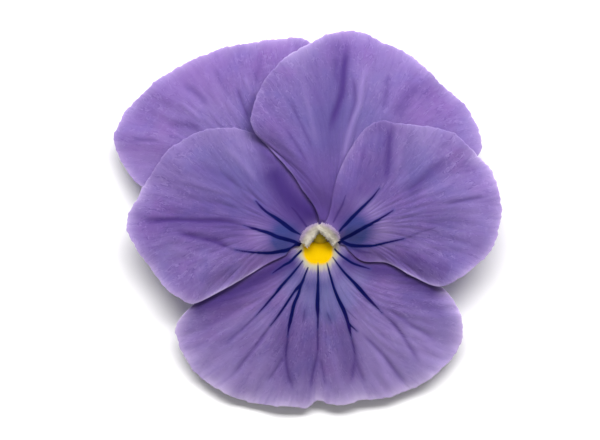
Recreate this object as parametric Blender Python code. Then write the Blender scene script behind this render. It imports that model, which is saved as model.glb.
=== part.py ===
"""A pansy bloom, picked with a short piece of its stalk and lying face up on a table.

+Z points out of the bloom's face, +Y from the throat to the two upper petals. Sizes are in millimetres
from the throat, which is the middle of the face; the origin is below the middle of the bloom, on the table.
"""

import math
import random

import bmesh
import bpy
import numpy as np
from mathutils import Vector

MM = 0.001
THROAT = (1.65, -2.45)
CURVE_STEPS = 12

# Petals: a blade each, on a claw that goes down the throat to the receptacle
BLADE = 0.6
COLUMNS = 54
ROWS = 6
CLAW_ROWS = 2

# The face is a low dome: its height at the throat, and how far it falls at DROOP_AT from the throat,
# all round and more towards the foot of the lower petal
FACE_Z = 7.2
DROOP_ROUND = 2.6
DROOP_LOWER = 3.2
DROOP_AT = 25.0
DOME_POWER = 1.6
LOWER_POWER = 1.3

# Step from one layer of petals to the next, beside the throat and further out
STEP_NEAR = 0.85
STEP_FAR = 1.3
STEP_GROWS_FROM = 3.0
STEP_GROWS_OVER = 5.0

# Margins: waves up and down, and scallops in and out, which fade away beside the throat
RUFFLE = 0.3
RUFFLE_LENGTH = 8.0
SECOND_RUFFLE = 1.37
SCALLOP = 0.18
SCALLOP_LENGTH = 5.6
QUIET_REACH = 6.0
QUIET_OVER = 8.0

# Heart: the receptacle with the pistil and the stamens in the throat above it
HEART = (0.1, 1.5)
CUP_TOP = 4.6
CUP_RADIUS = 2.05
CLEAR = 0.3
CLAW_RING = 2.0
STAMEN_RING = 1.08

# Beards: a slim core along the lip of each side petal, and hairs that lean to three sides of it
BEARD_CORE = 0.35
BEARD_HAIRS = 18
HAIR_LEANS = (-48, 5, 45)
HAIR_LENGTHS = (0.75, 1.0)
HAIR_RADII = (0.15, 0.14, 0.08)

# Nectar spur of the lower petal, from its mouth in the throat down to the spot it rests on
SPUR_MOUTH = (0.1, -2.45, 5.3)
SPUR_ROUTE = (SPUR_MOUTH, (0.1, -2.75, 4.2), (0.1, -3.35, 2.6), (0.1, -4.15, 1.0), (0.1, -5.2, 0.65))
SPUR_RADII = (1.85, 1.75, 1.6, 1.48, 1.38, 1.3, 1.18, 0.85)
SPUR_MOUTH_WALL = 0.73
SPUR_WALL = 0.6
SPUR_SIDES = 16
CLAW_SUNK = 0.6

# Sepals: half of each is a lance-shaped leaf under the petals, the rest a lobe that hangs behind it.
# The shares of SEPAL_WIDTH run from the lobe's end to the leaf's tip.
SEPAL_THICK = 0.65
SEPAL_WIDTH = 3.0
SEPAL_SHARES = (0.5, 0.75, 0.8, 0.72, 0.8, 1.0, 1.0, 0.85, 0.62, 0.36, 0.08)
SEPAL_CUPPING = 0.125

STALK_RADIUS = 0.85

VIOLET = (0.30, 0.20, 0.55, 1.0)
CREAM = (0.80, 0.76, 0.62, 1.0)
GREEN = (0.16, 0.30, 0.07, 1.0)
STALK_GREEN = (0.24, 0.38, 0.10, 1.0)
OLIVE = (0.38, 0.36, 0.06, 1.0)
ORANGE = (0.62, 0.34, 0.05, 1.0)

# Each outline runs from the claw along the petal's first side edge, round its margin and back to the claw,
# anticlockwise. lip is where the blade turns down into the throat, foot the claw's angle round the heart,
# and levels say by angle round the throat which layer of the bloom the blade lies in.
# A crease is a line (x, y, x, y), its half width and its height.
PETALS = {
    "petal_upper_left": {
        "outline": [
            (-0.4, 5.5), (0.9, 13.0), (1.3, 18.0), (1.0, 22.3), (0.0, 25.9), (-1.6, 27.8),
            (-4.0, 28.3), (-10.2, 27.5), (-13.3, 26.9), (-17.2, 25.5), (-22.5, 22.6),
            (-26.8, 18.6), (-28.1, 16.7), (-29.1, 14.0), (-27.8, 10.2), (-24.9, 6.9), (-21.8, 6.1),
            (-16.9, 5.2), (-10.5, 4.3), (-4.8, 3.3),
        ],
        "lip": ((-0.7, 3.3), (-1.7, 3.1), (-2.6, 2.6)),
        "foot": 122,
        "claw": 1.6,
        "levels": ((0, 0),),
        "creases": (
            (-6.0, 18.0, -14.0, 26.0, 1.6, -0.25),
            (-14.0, 14.0, -25.0, 17.0, 1.8, 0.3),
        ),
    },
    "petal_upper_right": {
        "outline": [
            (4.1, 2.7), (7.9, 4.3), (17.9, 7.9), (21.1, 9.9), (22.7, 11.8), (23.0, 13.6),
            (21.4, 18.1), (17.2, 22.3), (13.6, 25.7), (9.1, 27.9), (5.2, 29.4), (1.6, 28.9),
            (-2.3, 26.9), (-5.8, 24.5), (-8.5, 20.7), (-9.6, 17.0), (-9.2, 15.0), (-7.9, 13.5),
            (-4.7, 10.1), (-2.3, 6.5), (-0.9, 4.5), (0.0, 3.5),
        ],
        "lip": ((2.4, 2.9), (1.3, 2.9), (0.1, 3.0)),
        "foot": 60,
        "claw": 1.6,
        "levels": ((78, 1), (108, 2)),
        "creases": (
            (3.3, 28.0, 4.6, 14.0, 1.0, -0.45),
            (7.5, 25.8, 4.0, 10.0, 1.0, 0.4),
            (1.0, 27.0, 0.5, 13.0, 1.2, 0.2),
        ),
    },
    "petal_side_left": {
        "outline": [
            (-0.7, 3.0), (-1.1, 6.7), (-2.0, 9.5), (-3.7, 12.0), (-6.2, 13.8), (-8.9, 14.6),
            (-13.0, 15.5), (-17.4, 14.7), (-21.4, 12.2), (-24.0, 8.5), (-26.6, 4.0), (-27.2, 2.0),
            (-26.8, -0.1), (-23.4, -5.1), (-21.4, -7.5), (-19.6, -8.8), (-17.6, -9.4),
            (-13.8, -7.6), (-9.8, -5.3), (-7.2, -3.7), (-5.0, -2.9), (-4.0, -1.8),
        ],
        "lip": ((-0.6, 2.1), (-1.7, 0.5), (-3.0, -1.3)),
        "foot": 196,
        "claw": 2.2,
        "levels": ((0, 1),),
        "creases": (
            (-26.0, 2.1, -11.0, 2.3, 0.9, -0.35),
            (-20.3, 0.5, -11.8, -1.8, 0.9, -0.3),
            (-22.0, 7.0, -10.0, 6.5, 1.4, 0.25),
        ),
    },
    "petal_side_right": {
        "outline": [
            (4.1, -1.8), (6.2, -3.4), (9.8, -3.7), (13.3, -5.6), (17.2, -7.0), (21.0, -5.0),
            (24.5, -1.6), (25.8, 3.8), (24.5, 9.1), (20.7, 13.2), (18.6, 14.9), (14.0, 15.8),
            (10.6, 16.1), (8.5, 16.4), (6.4, 15.2), (4.1, 11.9), (2.7, 8.9), (2.1, 6.7), (1.7, 4.4),
        ],
        "lip": ((3.2, -1.1), (1.9, 0.5), (0.5, 2.1)),
        "foot": -16,
        "claw": 2.2,
        "levels": ((-10, 1), (20, 2)),
        "creases": (
            (9.9, 16.4, 8.0, 10.0, 0.9, 0.35),
            (11.3, 15.8, 10.3, 11.0, 0.8, -0.25),
            (15.7, 13.7, 11.5, 6.7, 1.4, 0.3),
        ),
    },
    "petal_lower": {
        "outline": [
            (-3.3, -1.7), (-8.1, -2.8), (-13.8, -6.0), (-17.7, -9.5), (-19.7, -11.5), (-20.4, -13.5),
            (-19.1, -17.4), (-16.2, -20.7), (-11.2, -23.4), (-4.8, -24.2), (-2.3, -24.5),
            (-0.1, -23.5), (3.5, -23.7), (6.7, -23.1), (11.9, -22.4), (17.6, -19.0), (20.4, -14.3),
            (19.6, -9.8), (16.3, -6.2), (10.8, -2.8), (7.5, -1.8), (3.7, -1.1),
        ],
        "lip": ((-2.8, -1.7), (0.1, -1.4), (2.9, -1.5)),
        "foot": 270,
        "claw": None,
        "levels": ((0, 0),),
        "creases": (
            (-1.0, -2.9, 1.2, -2.9, 1.3, 0.4),
            (-3.0, -24.0, -2.0, -14.0, 0.9, 0.25),
            (4.0, -23.5, 3.0, -14.0, 0.9, 0.25),
            (10.0, -22.0, 6.5, -13.0, 0.9, 0.25),
            (-9.5, -23.5, -6.0, -14.0, 0.9, 0.25),
            (-15.0, -20.0, -9.0, -12.0, 0.9, 0.25),
            (15.5, -19.5, 9.5, -11.5, 0.9, 0.25),
        ),
    },
}

# Angle round the heart of each sepal, how wide it is, and how far down its back lobe reaches
SEPALS = (
    (90, 0.9, 2.9),
    (158, 1.0, 0.14),
    (220, 0.85, 0.14),
    (320, 0.85, 0.14),
    (22, 1.0, 0.14),
)


def smooth(t):
    """0 to 1 without a corner at either end."""
    t = np.clip(t, 0.0, 1.0)
    return t * t * (3.0 - 2.0 * t)


def curve_through(points, count):
    """count points, evenly spaced, on the smooth curve through the given ones."""
    p = np.array(points, float)
    ends = np.vstack([2 * p[0] - p[1], p, 2 * p[-1] - p[-2]])
    t = np.linspace(0, 1, CURVE_STEPS, endpoint=False)[:, None]
    runs = []
    for a, b, c, d in zip(ends, ends[1:], ends[2:], ends[3:]):
        bend = (2 * a - 5 * b + 4 * c - d) * t**2 + (3 * b - a - 3 * c + d) * t**3
        runs.append(b + 0.5 * ((c - a) * t + bend))
    path = np.vstack(runs + [p[-1:]])
    walked = np.concatenate([[0], np.cumsum(np.linalg.norm(np.diff(path, axis=0), axis=1))])
    even = np.linspace(0, walked[-1], count)
    return np.stack([np.interp(even, walked, path[:, k]) for k in range(p.shape[1])], axis=1)


def face_height(x, y):
    """Height of the bloom's face, a low dome that falls furthest at the lower petal."""
    r = math.hypot(x, y)
    downward = max(0.0, -y / max(r, 0.01))
    droop = DROOP_ROUND + DROOP_LOWER * downward**LOWER_POWER
    return FACE_Z - droop * (r / DROOP_AT) ** DOME_POWER


def layer_height(levels, x, y):
    """How far the petal's layer lifts it above the face."""
    angles = [math.radians(angle) for angle, _ in levels]
    at = math.atan2(y, x)
    if len(levels) == 1:
        level = levels[0][1]
    else:
        share = smooth((at - angles[0]) / (angles[1] - angles[0]))
        level = levels[0][1] + (levels[1][1] - levels[0][1]) * share
    far = smooth((math.hypot(x, y) - STEP_GROWS_FROM) / STEP_GROWS_OVER)
    return level * (STEP_NEAR + (STEP_FAR - STEP_NEAR) * far)


def crease_height(creases, x, y):
    """Sum of the soft ridges and furrows at a point."""
    height = 0.0
    for ax, ay, bx, by, width, depth in creases:
        along = Vector((bx - ax, by - ay))
        t = Vector((x - ax, y - ay)).dot(along) / along.length_squared
        nearest = Vector((ax, ay)) + along * min(1.0, max(0.0, t))
        height += depth * math.exp(-(((Vector((x, y)) - nearest).length / width) ** 2))
    return height


def petal_points(petal, waves):
    """Middle surface of a petal, as columns of points from the claw's foot to the margin."""
    margin = curve_through(petal["outline"], COLUMNS + 1)
    lips = curve_through(petal["lip"], COLUMNS + 1)
    main = Vector((margin[COLUMNS // 2] - lips[COLUMNS // 2]).tolist()).normalized()
    perimeter = np.linalg.norm(np.diff(margin, axis=0), axis=1).sum()
    columns = []
    for i in range(COLUMNS + 1):
        u = i / COLUMNS
        lip = lips[i]
        edge = margin[i]
        wave = sum(math.sin(math.tau * u * perimeter / length + phase) for length, phase in waves)
        way = Vector((edge - lip).tolist()).normalized()
        out = (main + way).normalized()
        free = smooth((math.hypot(*edge) - QUIET_REACH) / QUIET_OVER)
        scallop = SCALLOP * math.sin(math.tau * u * perimeter / SCALLOP_LENGTH)
        edge = edge + np.array(way) * free * scallop
        column = claw_points(petal, u, lip, out)
        for j in range(ROWS + 1):
            v = j / ROWS
            x, y = lip + (edge - lip) * v**1.1
            z = face_height(x, y) + layer_height(petal["levels"], x, y)
            fade = smooth(v * 2.0)
            z += fade * crease_height(petal["creases"], x, y)
            z += RUFFLE * free * wave / len(waves) * v**3
            column.append((x, y, z))
        columns.append(column)
    return columns


def claw_foot(petal, u):
    """Where a column of the claw ends: on the receptacle, or in the spur's wall on the lower petal."""
    if petal["claw"] is None:
        turn = math.radians(185 + 170 * u)
        middle = SPUR_RADII[0] - SPUR_MOUTH_WALL / 2
        return Vector(SPUR_MOUTH) + Vector((middle * math.cos(turn), middle * math.sin(turn), -CLAW_SUNK))
    foot = math.radians(petal["foot"])
    across = (u - 0.5) * petal["claw"]
    return Vector((
        HEART[0] + CLAW_RING * math.cos(foot) - across * math.sin(foot),
        HEART[1] + CLAW_RING * math.sin(foot) + across * math.cos(foot),
        CUP_TOP + CLEAR,
    ))


def claw_points(petal, u, lip, out):
    """Points from the foot up the throat to just before the lip, where the blade bends outwards."""
    start = claw_foot(petal, u)
    x, y = lip
    end = Vector((x, y, face_height(x, y) + layer_height(petal["levels"], x, y)))
    rise = end.z - start.z
    up = start + Vector((0, 0, rise * 0.55))
    bend = end - Vector((out.x, out.y, 0)) * 0.25 - Vector((0, 0, rise * 0.2))
    points = []
    for j in range(CLAW_ROWS):
        t = j / CLAW_ROWS
        s = 1 - t
        points.append(tuple(start * s**3 + up * 3 * s * s * t + bend * 3 * s * t * t + end * t**3))
    return points


def material(name, colour, roughness):
    made = bpy.data.materials.new(name)
    made.use_nodes = True
    shader = made.node_tree.nodes["Principled BSDF"]
    shader.inputs["Base Color"].default_value = colour
    shader.inputs["Roughness"].default_value = roughness
    made.diffuse_color = colour
    return made


def part(name, points, faces, finish):
    """A mesh object from points in millimetres round the throat, shaded smooth."""
    mesh = bpy.data.meshes.new(name)
    mesh.from_pydata([(x * MM, y * MM, z * MM) for x, y, z in points], [], faces)
    mesh.shade_smooth()
    mesh.materials.append(finish)
    obj = bpy.data.objects.new(name, mesh)
    obj.location = (THROAT[0] * MM, THROAT[1] * MM, 0)
    bpy.context.scene.collection.objects.link(obj)
    return obj


def sheet(name, columns, thick, finish):
    """A blade: the middle surface in triangles, which Solidify doubles alike on both faces."""
    rows = len(columns[0])
    points = [point for column in columns for point in column]
    faces = []
    for i in range(len(columns) - 1):
        for j in range(rows - 1):
            a = i * rows + j
            b = a + rows
            faces += [(a, a + 1, b + 1), (a, b + 1, b)]
    obj = part(name, points, faces, finish)
    solid = obj.modifiers.new("thickness", "SOLIDIFY")
    solid.thickness = thick * MM
    solid.offset = 0.0
    return obj


def rings(path, radii, sides, squash=(1.0, 1.0), lean=Vector((0, 0, 1))):
    """Rings of points round a path, one for each of its points."""
    path = [Vector(p) for p in path]
    found = []
    for k, (middle, radius) in enumerate(zip(path, radii)):
        ahead = path[min(k + 1, len(path) - 1)] - path[max(k - 1, 0)]
        ahead.normalize()
        side = ahead.cross(lean)
        if side.length < 0.05:
            side = ahead.cross(Vector((1, 0, 0)))
        side.normalize()
        back = side.cross(ahead)
        for n in range(sides):
            turn = math.tau * n / sides
            a = side * math.cos(turn) * squash[0]
            b = back * math.sin(turn) * squash[1]
            found.append(tuple(middle + (a + b) * radius))
    return found


def bands(count, sides, first=0):
    """Quads between neighbouring rings, facing out of a tube whose rings come from rings()."""
    faces = []
    for k in range(count - 1):
        for n in range(sides):
            a = first + k * sides + n
            b = first + k * sides + (n + 1) % sides
            faces.append((a, b, b + sides, a + sides))
    return faces


def tube(name, path, radii, sides, finish, squash=(1.0, 1.0), lean=Vector((0, 0, 1))):
    """A closed tube or drop along a path."""
    points = rings(path, radii, sides, squash, lean)
    last = (len(path) - 1) * sides
    faces = bands(len(path), sides)
    faces.append(tuple(range(sides))[::-1])
    faces.append(tuple(last + n for n in range(sides)))
    obj = part(name, points, faces, finish)
    outward(obj)
    return obj


def outward(obj):
    """Turns every face of a closed mesh to face out."""
    bm = bmesh.new()
    bm.from_mesh(obj.data)
    bmesh.ops.recalc_face_normals(bm, faces=bm.faces)
    bm.to_mesh(obj.data)
    bm.free()


def flatten_base(obj):
    """Cuts off what reaches below the table and closes the cut with one flat face."""
    bm = bmesh.new()
    bm.from_mesh(obj.data)
    whole = list(bm.verts) + list(bm.edges) + list(bm.faces)
    bmesh.ops.bisect_plane(bm, geom=whole, plane_co=(0, 0, 0), plane_no=(0, 0, -1), clear_outer=True)
    bmesh.ops.holes_fill(bm, edges=[edge for edge in bm.edges if edge.is_boundary])
    bm.to_mesh(obj.data)
    bm.free()


def fuse(obj, others):
    """Joins the other objects to this one, as one closed body."""
    group = bpy.data.collections.new(obj.name + "_joined")
    bpy.context.scene.collection.children.link(group)
    for other in others:
        group.objects.link(other)
    union = obj.modifiers.new("joined", "BOOLEAN")
    union.operation = "UNION"
    union.operand_type = "COLLECTION"
    union.collection = group
    union.solver = "EXACT"
    with bpy.context.temp_override(object=obj, active_object=obj, selected_objects=[obj]):
        for modifier in list(obj.modifiers):
            bpy.ops.object.modifier_apply(modifier=modifier.name)
    for other in others:
        bpy.data.objects.remove(other, do_unlink=True)
    bpy.data.collections.remove(group)


def make_petals(finish):
    """The five petals, each with waves of its own along the margin."""
    draw = random.Random(7)
    made = {}
    for name, petal in PETALS.items():
        lengths = (RUFFLE_LENGTH, RUFFLE_LENGTH * SECOND_RUFFLE)
        waves = [(length, draw.uniform(0, math.tau)) for length in lengths]
        made[name] = sheet(name, petal_points(petal, waves), BLADE, finish)
    return made


def make_spur(finish):
    """The lower petal's nectar spur: a curved pouch, open into the throat, flat where it rests."""
    sides = SPUR_SIDES
    axis = curve_through(SPUR_ROUTE, len(SPUR_RADII))
    bores = [SPUR_RADII[0] - SPUR_MOUTH_WALL] + [radius - SPUR_WALL for radius in SPUR_RADII[1:-2]]
    points = rings(axis, SPUR_RADII, sides)
    first = len(points)
    points += rings(axis[: len(bores)], bores, sides)
    last = first - sides
    floor = len(points) - sides
    faces = bands(len(SPUR_RADII), sides)
    faces += [face[::-1] for face in bands(len(bores), sides, first)]
    faces.append(tuple(last + n for n in range(sides)))
    faces.append(tuple(floor + n for n in range(sides))[::-1])
    for n in range(sides):
        m = (n + 1) % sides
        faces.append((n, first + n, first + m, m))
    obj = part("spur", points, faces, finish)
    outward(obj)
    flatten_base(obj)
    return obj


def make_beard(name, petal, finish):
    """White hairs on a slim core, along the lip of a side petal."""
    draw = random.Random(11)
    lift = BLADE / 2 + CLEAR + BEARD_CORE + 0.05
    path = []
    for x, y in curve_through(petal["lip"], 6):
        path.append(Vector((x, y, face_height(x, y) + layer_height(petal["levels"], x, y) + lift)))
    radii = [BEARD_CORE * share for share in (0.6, 0.9, 1.0, 1.0, 0.9, 0.6)]
    core = tube(name, path, radii, 8, finish)
    along = (path[-1] - path[0]).normalized()
    across = along.cross(Vector((0, 0, 1))).normalized()
    hairs = []
    for n in range(BEARD_HAIRS):
        at = 0.2 + (len(path) - 1.4) * n / (BEARD_HAIRS - 1)
        root = path[int(at)].lerp(path[int(at) + 1], at - int(at))
        lean = math.radians(HAIR_LEANS[n % 3] + draw.uniform(-12, 12))
        out = Vector((0, 0, math.cos(lean))) + across * math.sin(lean) + along * draw.uniform(-0.3, 0.3)
        tip = root + out.normalized() * draw.uniform(*HAIR_LENGTHS)
        hairs.append(tube(f"hair_{n}", [root, root.lerp(tip, 0.7), tip], HAIR_RADII, 4, finish))
    fuse(core, hairs)


def make_pistil(finish):
    """Ovary, bent style and round head, whose mouth looks down at the spur."""
    x, y = HEART
    path = [
        (x, y, CUP_TOP + CLEAR), (x, y, 5.3), (x, y, 5.9), (x, y - 0.1, 6.4), (x, y - 0.35, 6.8),
        (x, y - 0.8, 7.1), (x + 0.05, 0.35, 7.4), (x + 0.05, 0.05, 7.85), (x + 0.05, -0.1, 8.3),
    ]
    tube("pistil", path, [0.35, 0.56, 0.54, 0.36, 0.24, 0.3, 0.7, 0.82, 0.45], 10, finish)


def make_stamens(finish):
    """Five anthers in a collar round the ovary; the lower two reach into the spur with a nectar horn."""
    x, y = HEART
    for n in range(5):
        turn = math.radians(90 + 72 * n)
        out = Vector((math.cos(turn), math.sin(turn), 0))
        foot = Vector((x, y, CUP_TOP + CLEAR)) + out * STAMEN_RING
        path = [foot, foot + Vector((0, 0, 0.6)), foot + Vector((0, 0, 1.3)) - out * 0.05]
        path.append(foot + Vector((0, 0, 1.85)) - out * 0.2)
        stamen = tube(f"stamen_{n + 1}", path, [0.4, 0.56, 0.5, 0.22], 8, finish, (1.0, 0.48), out)
        if n in (2, 3):
            side = -0.42 if n == 2 else 0.42
            horn = [
                foot + Vector((0, 0, 1.05)), (x + side * 1.1, -0.2, 6.05), (x + side, -1.1, 5.9),
                (x + side, -1.95, 5.3), (x + side, -2.6, 4.3), (x + side, -2.95, 3.4),
            ]
            fuse(stamen, [tube("horn", curve_through(horn, 8), [0.26] * 7 + [0.2], 8, finish)])


def make_receptacle(finish):
    """The cup that carries the petals, turned about its axis."""
    x, y = HEART
    heights = [3.2, 3.45, 4.1, CUP_TOP]
    path = [(x, y, z) for z in heights]
    tube("receptacle", path, [0.9, 1.5, 1.85, CUP_RADIUS], 20, finish)


def make_sepals(finish):
    """Five narrow green leaves under the petals, each with a blunt lobe at its back."""
    for n, (angle, wide, lobe) in enumerate(SEPALS):
        turn = math.radians(angle)
        out = Vector((math.cos(turn), math.sin(turn), 0))
        side = Vector((-out.y, out.x, 0))
        splay = 2.45 + 0.4 * (4.0 - lobe)
        route = [
            (splay, lobe), ((splay + 2.45) / 2 - 0.05, (lobe + 3.9) / 2), (2.42, 3.9), (3.3, 4.35),
            (6.0, 4.85), (9.0, 4.95), (11.5, 4.6),
        ]
        line = curve_through(route, len(SEPAL_SHARES))
        columns = []
        for i in range(5):
            across = (i / 4 - 0.5) * SEPAL_WIDTH * wide
            column = []
            for (reach, height), share in zip(line, SEPAL_SHARES):
                at = out * reach + side * (-across * share)
                cup = SEPAL_CUPPING * (across * share) ** 2 if reach > 3.0 else 0.0
                column.append((HEART[0] + at.x, HEART[1] + at.y, height + cup))
            columns.append(column)
        sheet(f"sepal_{n + 1}", columns, SEPAL_THICK, finish)


def make_pedicel(finish):
    """The stalk, which hooks away from the receptacle and lies on the table to its cut end."""
    x, y = HEART
    route = [
        (x, y, 2.62), (x, y + 0.1, 2.15), (x + 0.05, y + 1.2, 1.35), (x + 0.1, y + 3.2, 0.95),
        (x + 0.25, y + 7.0, 0.88), (x + 0.6, y + 12.0, 0.87),
    ]
    path = curve_through(route, 10)
    tube("pedicel", path, [STALK_RADIUS * 0.95] + [STALK_RADIUS] * 9, 12, finish)


def main():
    for obj in list(bpy.data.objects):
        bpy.data.objects.remove(obj, do_unlink=True)
    petal = material("petal", VIOLET, 0.7)
    cream = material("beard", CREAM, 0.8)
    green = material("calyx", GREEN, 0.6)
    made = make_petals(petal)
    fuse(made["petal_lower"], [make_spur(petal)])
    make_beard("beard_left", PETALS["petal_side_left"], cream)
    make_beard("beard_right", PETALS["petal_side_right"], cream)
    make_pistil(material("pistil", OLIVE, 0.5))
    make_stamens(material("anther", ORANGE, 0.7))
    make_receptacle(green)
    make_sepals(green)
    make_pedicel(material("stalk", STALK_GREEN, 0.6))


main()
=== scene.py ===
"""Dresses the pansy bloom: veined petals with nectar guides, bearded throat, green parts, light and camera.

Lengths are in millimetres from the throat, as on the solid model, until a piece is made. What fades in has
a pair of values: from where on, and over how much.
"""
import math
import random

import bmesh
import bpy
import numpy as np
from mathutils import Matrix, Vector


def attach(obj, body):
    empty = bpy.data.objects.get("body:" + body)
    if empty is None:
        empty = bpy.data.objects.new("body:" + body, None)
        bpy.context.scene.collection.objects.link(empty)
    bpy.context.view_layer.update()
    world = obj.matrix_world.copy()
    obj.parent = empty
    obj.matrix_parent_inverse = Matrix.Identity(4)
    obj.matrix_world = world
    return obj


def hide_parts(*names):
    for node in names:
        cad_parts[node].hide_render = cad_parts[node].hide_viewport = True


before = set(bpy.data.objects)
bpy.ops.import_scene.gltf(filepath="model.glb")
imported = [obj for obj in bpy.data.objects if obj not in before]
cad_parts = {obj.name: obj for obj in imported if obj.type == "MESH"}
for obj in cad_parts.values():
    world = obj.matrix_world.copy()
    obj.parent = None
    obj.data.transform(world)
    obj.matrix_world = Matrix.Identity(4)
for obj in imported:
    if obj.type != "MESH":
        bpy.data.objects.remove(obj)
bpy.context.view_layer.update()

MM = 0.001
THROAT = (1.65, -2.45)
CURVE_STEPS = 12

# The photograph: its size, the pixel that holds the throat, and what a pixel measures at the face
IMAGE_WIDTH = 600
IMAGE_HEIGHT = 440
THROAT_PIXEL = (319, 237)
PIXEL_MM = 55.0 / 388.0
CAMERA_ABOVE = 1000.0
IN_SCALE_Z = 4.5
SENSOR_MM = 36.0

# A petal's grid: columns across, rows from the lip to the margin, rows down the claw. Its thickness falls
# from the lip to the rim, which is rounded from RIM_STARTS of the way on, and at the side columns. The
# paler underside starts BACK_STARTS columns and RIM_ROWS rows inside the margin.
COLUMNS = 270
ROWS = 104
CLAW_ROWS = 12
RIM_SHARES = (0.5, 0.2, 0.0)
RIM_STARTS = 0.994
BLADE_BASE = 0.36
BLADE_RIM = 0.17
SIDE_THIN = (0.15, 0.5, 0.75, 0.9)
BACK_STARTS = 12
RIM_ROWS = 8
LIP_SMOOTHING = 14
ROW_MM = 0.15
ROW_POWER = 1.1
FAN = 0.35
FAN_STEPS = 160

# The form of the solid petals, which the fine ones keep
FACE_Z = 7.2
DROOP_ROUND = 2.6
DROOP_LOWER = 3.2
DROOP_AT = 25.0
DOME_POWER = 1.6
LOWER_POWER = 1.3
STEP_NEAR = 0.85
STEP_FAR = 1.3
STEP_GROWS = (3.0, 5.0)
RUFFLE = 0.3
RUFFLE_LENGTHS = (8.0, 8.0 * 1.37)
SCALLOP = 0.18
SCALLOP_LENGTH = 5.6
RUFFLE_GROWS = (6.0, 8.0)

# Margins that lie on another petal bend down to it, less so far from the throat, and are less pale, as the
# margin's paleness is partly painted light that a thin edge over the bright table lets through
TUCK = 0.62
TUCK_REACH = 2.8
TUCK_FADES = (14.0, 6.0)
COVERED_RIM = 0.75
RIM_TURNS = 8.0
RIM_GROWS = (5.0, 6.0)

# What the fine petals add: small teeth along the margin, pleats behind it, folds, and veins that fork
SCALLOP_KEPT = 0.3
TOOTH = 0.15
TOOTH_LENGTHS = (0.83, 1.3, 1.9, 3.4)
CRINKLES = 10
CRINKLE_ACROSS = (1.7, 5.5)
CRINKLE_ALONG = (5.0, 14.0)
CRINKLE = 0.035
CRINKLES_GROW = (3.0, 9.0)
FOLD_DEPTH = 0.28
FOLD_ENDS = 0.25
MAIN_VEINS = 11
VEIN_FORKS = (0.2, 0.42, 0.66)
VEIN_WIDTH = 0.13
VEIN_RELIEF = 0.022
VEINS_NEAR = 0.35
VEINS_GROW = (2.0, 8.0)
RELIEF_ENDS = (0.9, 0.1)
GUIDE_WIDTH = 0.86
THIN_WIDTH = 1.3
DEEP_GROWS = (-6.0, 8.0)

# Yellow eye: middle, half width, how much narrower it gets and where, top, height and squareness
EYE_X = -0.14
EYE_HALF = 2.2
EYE_TAPER = 0.6
EYE_TAPERS = (2.3, 1.8)
EYE_TOP = -1.6
EYE_TALL = 2.38
EYE_CORNERS = 4

# Heart of the bloom. SPUR_CLAW_TURN is the arc of the spur's mouth that carries the lower petal's claw, in
# degrees: its start and its length. SPUR_TIP is how far the round tip reaches, in radii of the spur's end.
# HORN_ASIDE is where the nectar horns of the two lower stamens lie. PISTIL_GOLD is where the head of the
# pistil turns gold, measured down from the throat.
HEART = (0.1, 1.5)
CUP_TOP = 4.6
CUP_RADIUS = 2.05
CLEAR = 0.3
CLAW_RING = 2.0
CLAW_SUNK = 0.6
SPUR_CLAW_TURN = (185, 170)
STAMEN_RING = 1.08
STAMEN_SEAM = 0.16
HORN_ASIDE = {2: -0.42, 3: 0.42}
HORN_RADIUS = 0.24
SPUR_MOUTH = (0.1, -2.45, 5.3)
SPUR_ROUTE = (SPUR_MOUTH, (0.1, -2.75, 4.2), (0.1, -3.35, 2.6), (0.1, -4.15, 1.0), (0.1, -5.2, 0.65))
SPUR_RADII = (1.85, 1.75, 1.6, 1.48, 1.38, 1.3, 1.18, 0.85)
SPUR_MOUTH_WALL = 0.73
SPUR_WALL = 0.4
SPUR_ROWS = 44
SPUR_HOLLOW_ROWS = 36
SPUR_TIP = 0.45
SPUR_RIBS = 9
SPUR_RIB = 0.018
BEARD_CORE = 0.62
BEARD_LIFT = 0.3
BEARD_STEPS = 40
BEARD_HAIRS = 1500
HAIR_LEAN = 88
HAIR_LENGTH = (0.2, 0.42)
HAIR_RADII = (0.028, 0.03, 0.036, 0.016)
TUFT_GLOW = 1.15
LEFT_BEARD = ((-2.15, -0.95), (-1.9, -0.4), (-1.4, 0.35), (-0.75, 1.0), (0.2, 1.52))
RIGHT_BEARD = ((2.4, -0.75), (2.1, -0.1), (1.65, 0.45), (1.0, 1.05), (0.0, 1.55))
BEARDS = {
    "beard_left": ("petal_side_left", LEFT_BEARD),
    "beard_right": ("petal_side_right", RIGHT_BEARD),
}
PISTIL_GOLD = (0.62, 0.35)

# Sepals: angle round the heart, how wide each is, and how far down its back lobe reaches
SEPALS = ((90, 0.9, 2.9), (158, 1.0, 0.14), (220, 0.85, 0.14), (320, 0.85, 0.14), (22, 1.0, 0.14))
SEPAL_ROWS = 90
SEPAL_LANES = 29
SEPAL_WIDTH = 3.0
SEPAL_SHARES = (0.5, 0.75, 0.8, 0.72, 0.8, 1.0, 1.0, 0.85, 0.62, 0.36, 0.08)
SEPAL_CUPPING = 0.125
SEPAL_THICK = 0.42
SEPAL_EDGE = 0.09
SEPAL_RIB = 0.16
SEPAL_VEINS_APART = 1.3
SEPAL_RELIEF = 0.03
STALK_RADIUS = 0.85
STALK_RIDGE = 0.05
STALK_RIM = 0.86
PITH = 0.42
PITH_SUNK = 0.12

# Light: an even sky and one wide lamp, with its place and size in metres and its watts
WORLD_LIGHT = 0.33
WORLD_COLOUR = (1.0, 0.975, 1.0, 1.0)
LAMP_PLACE = (0.03, 0.38, 0.5)
LAMP_SIZE = (0.76, 0.22)
LAMP_WATTS = 7.5
LAMP_COLOUR = (1.0, 0.99, 1.0)
COLOUR_LEVEL = 0.935
TABLE_HALF = 1.5
TABLE_DROP = 0.00002
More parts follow.
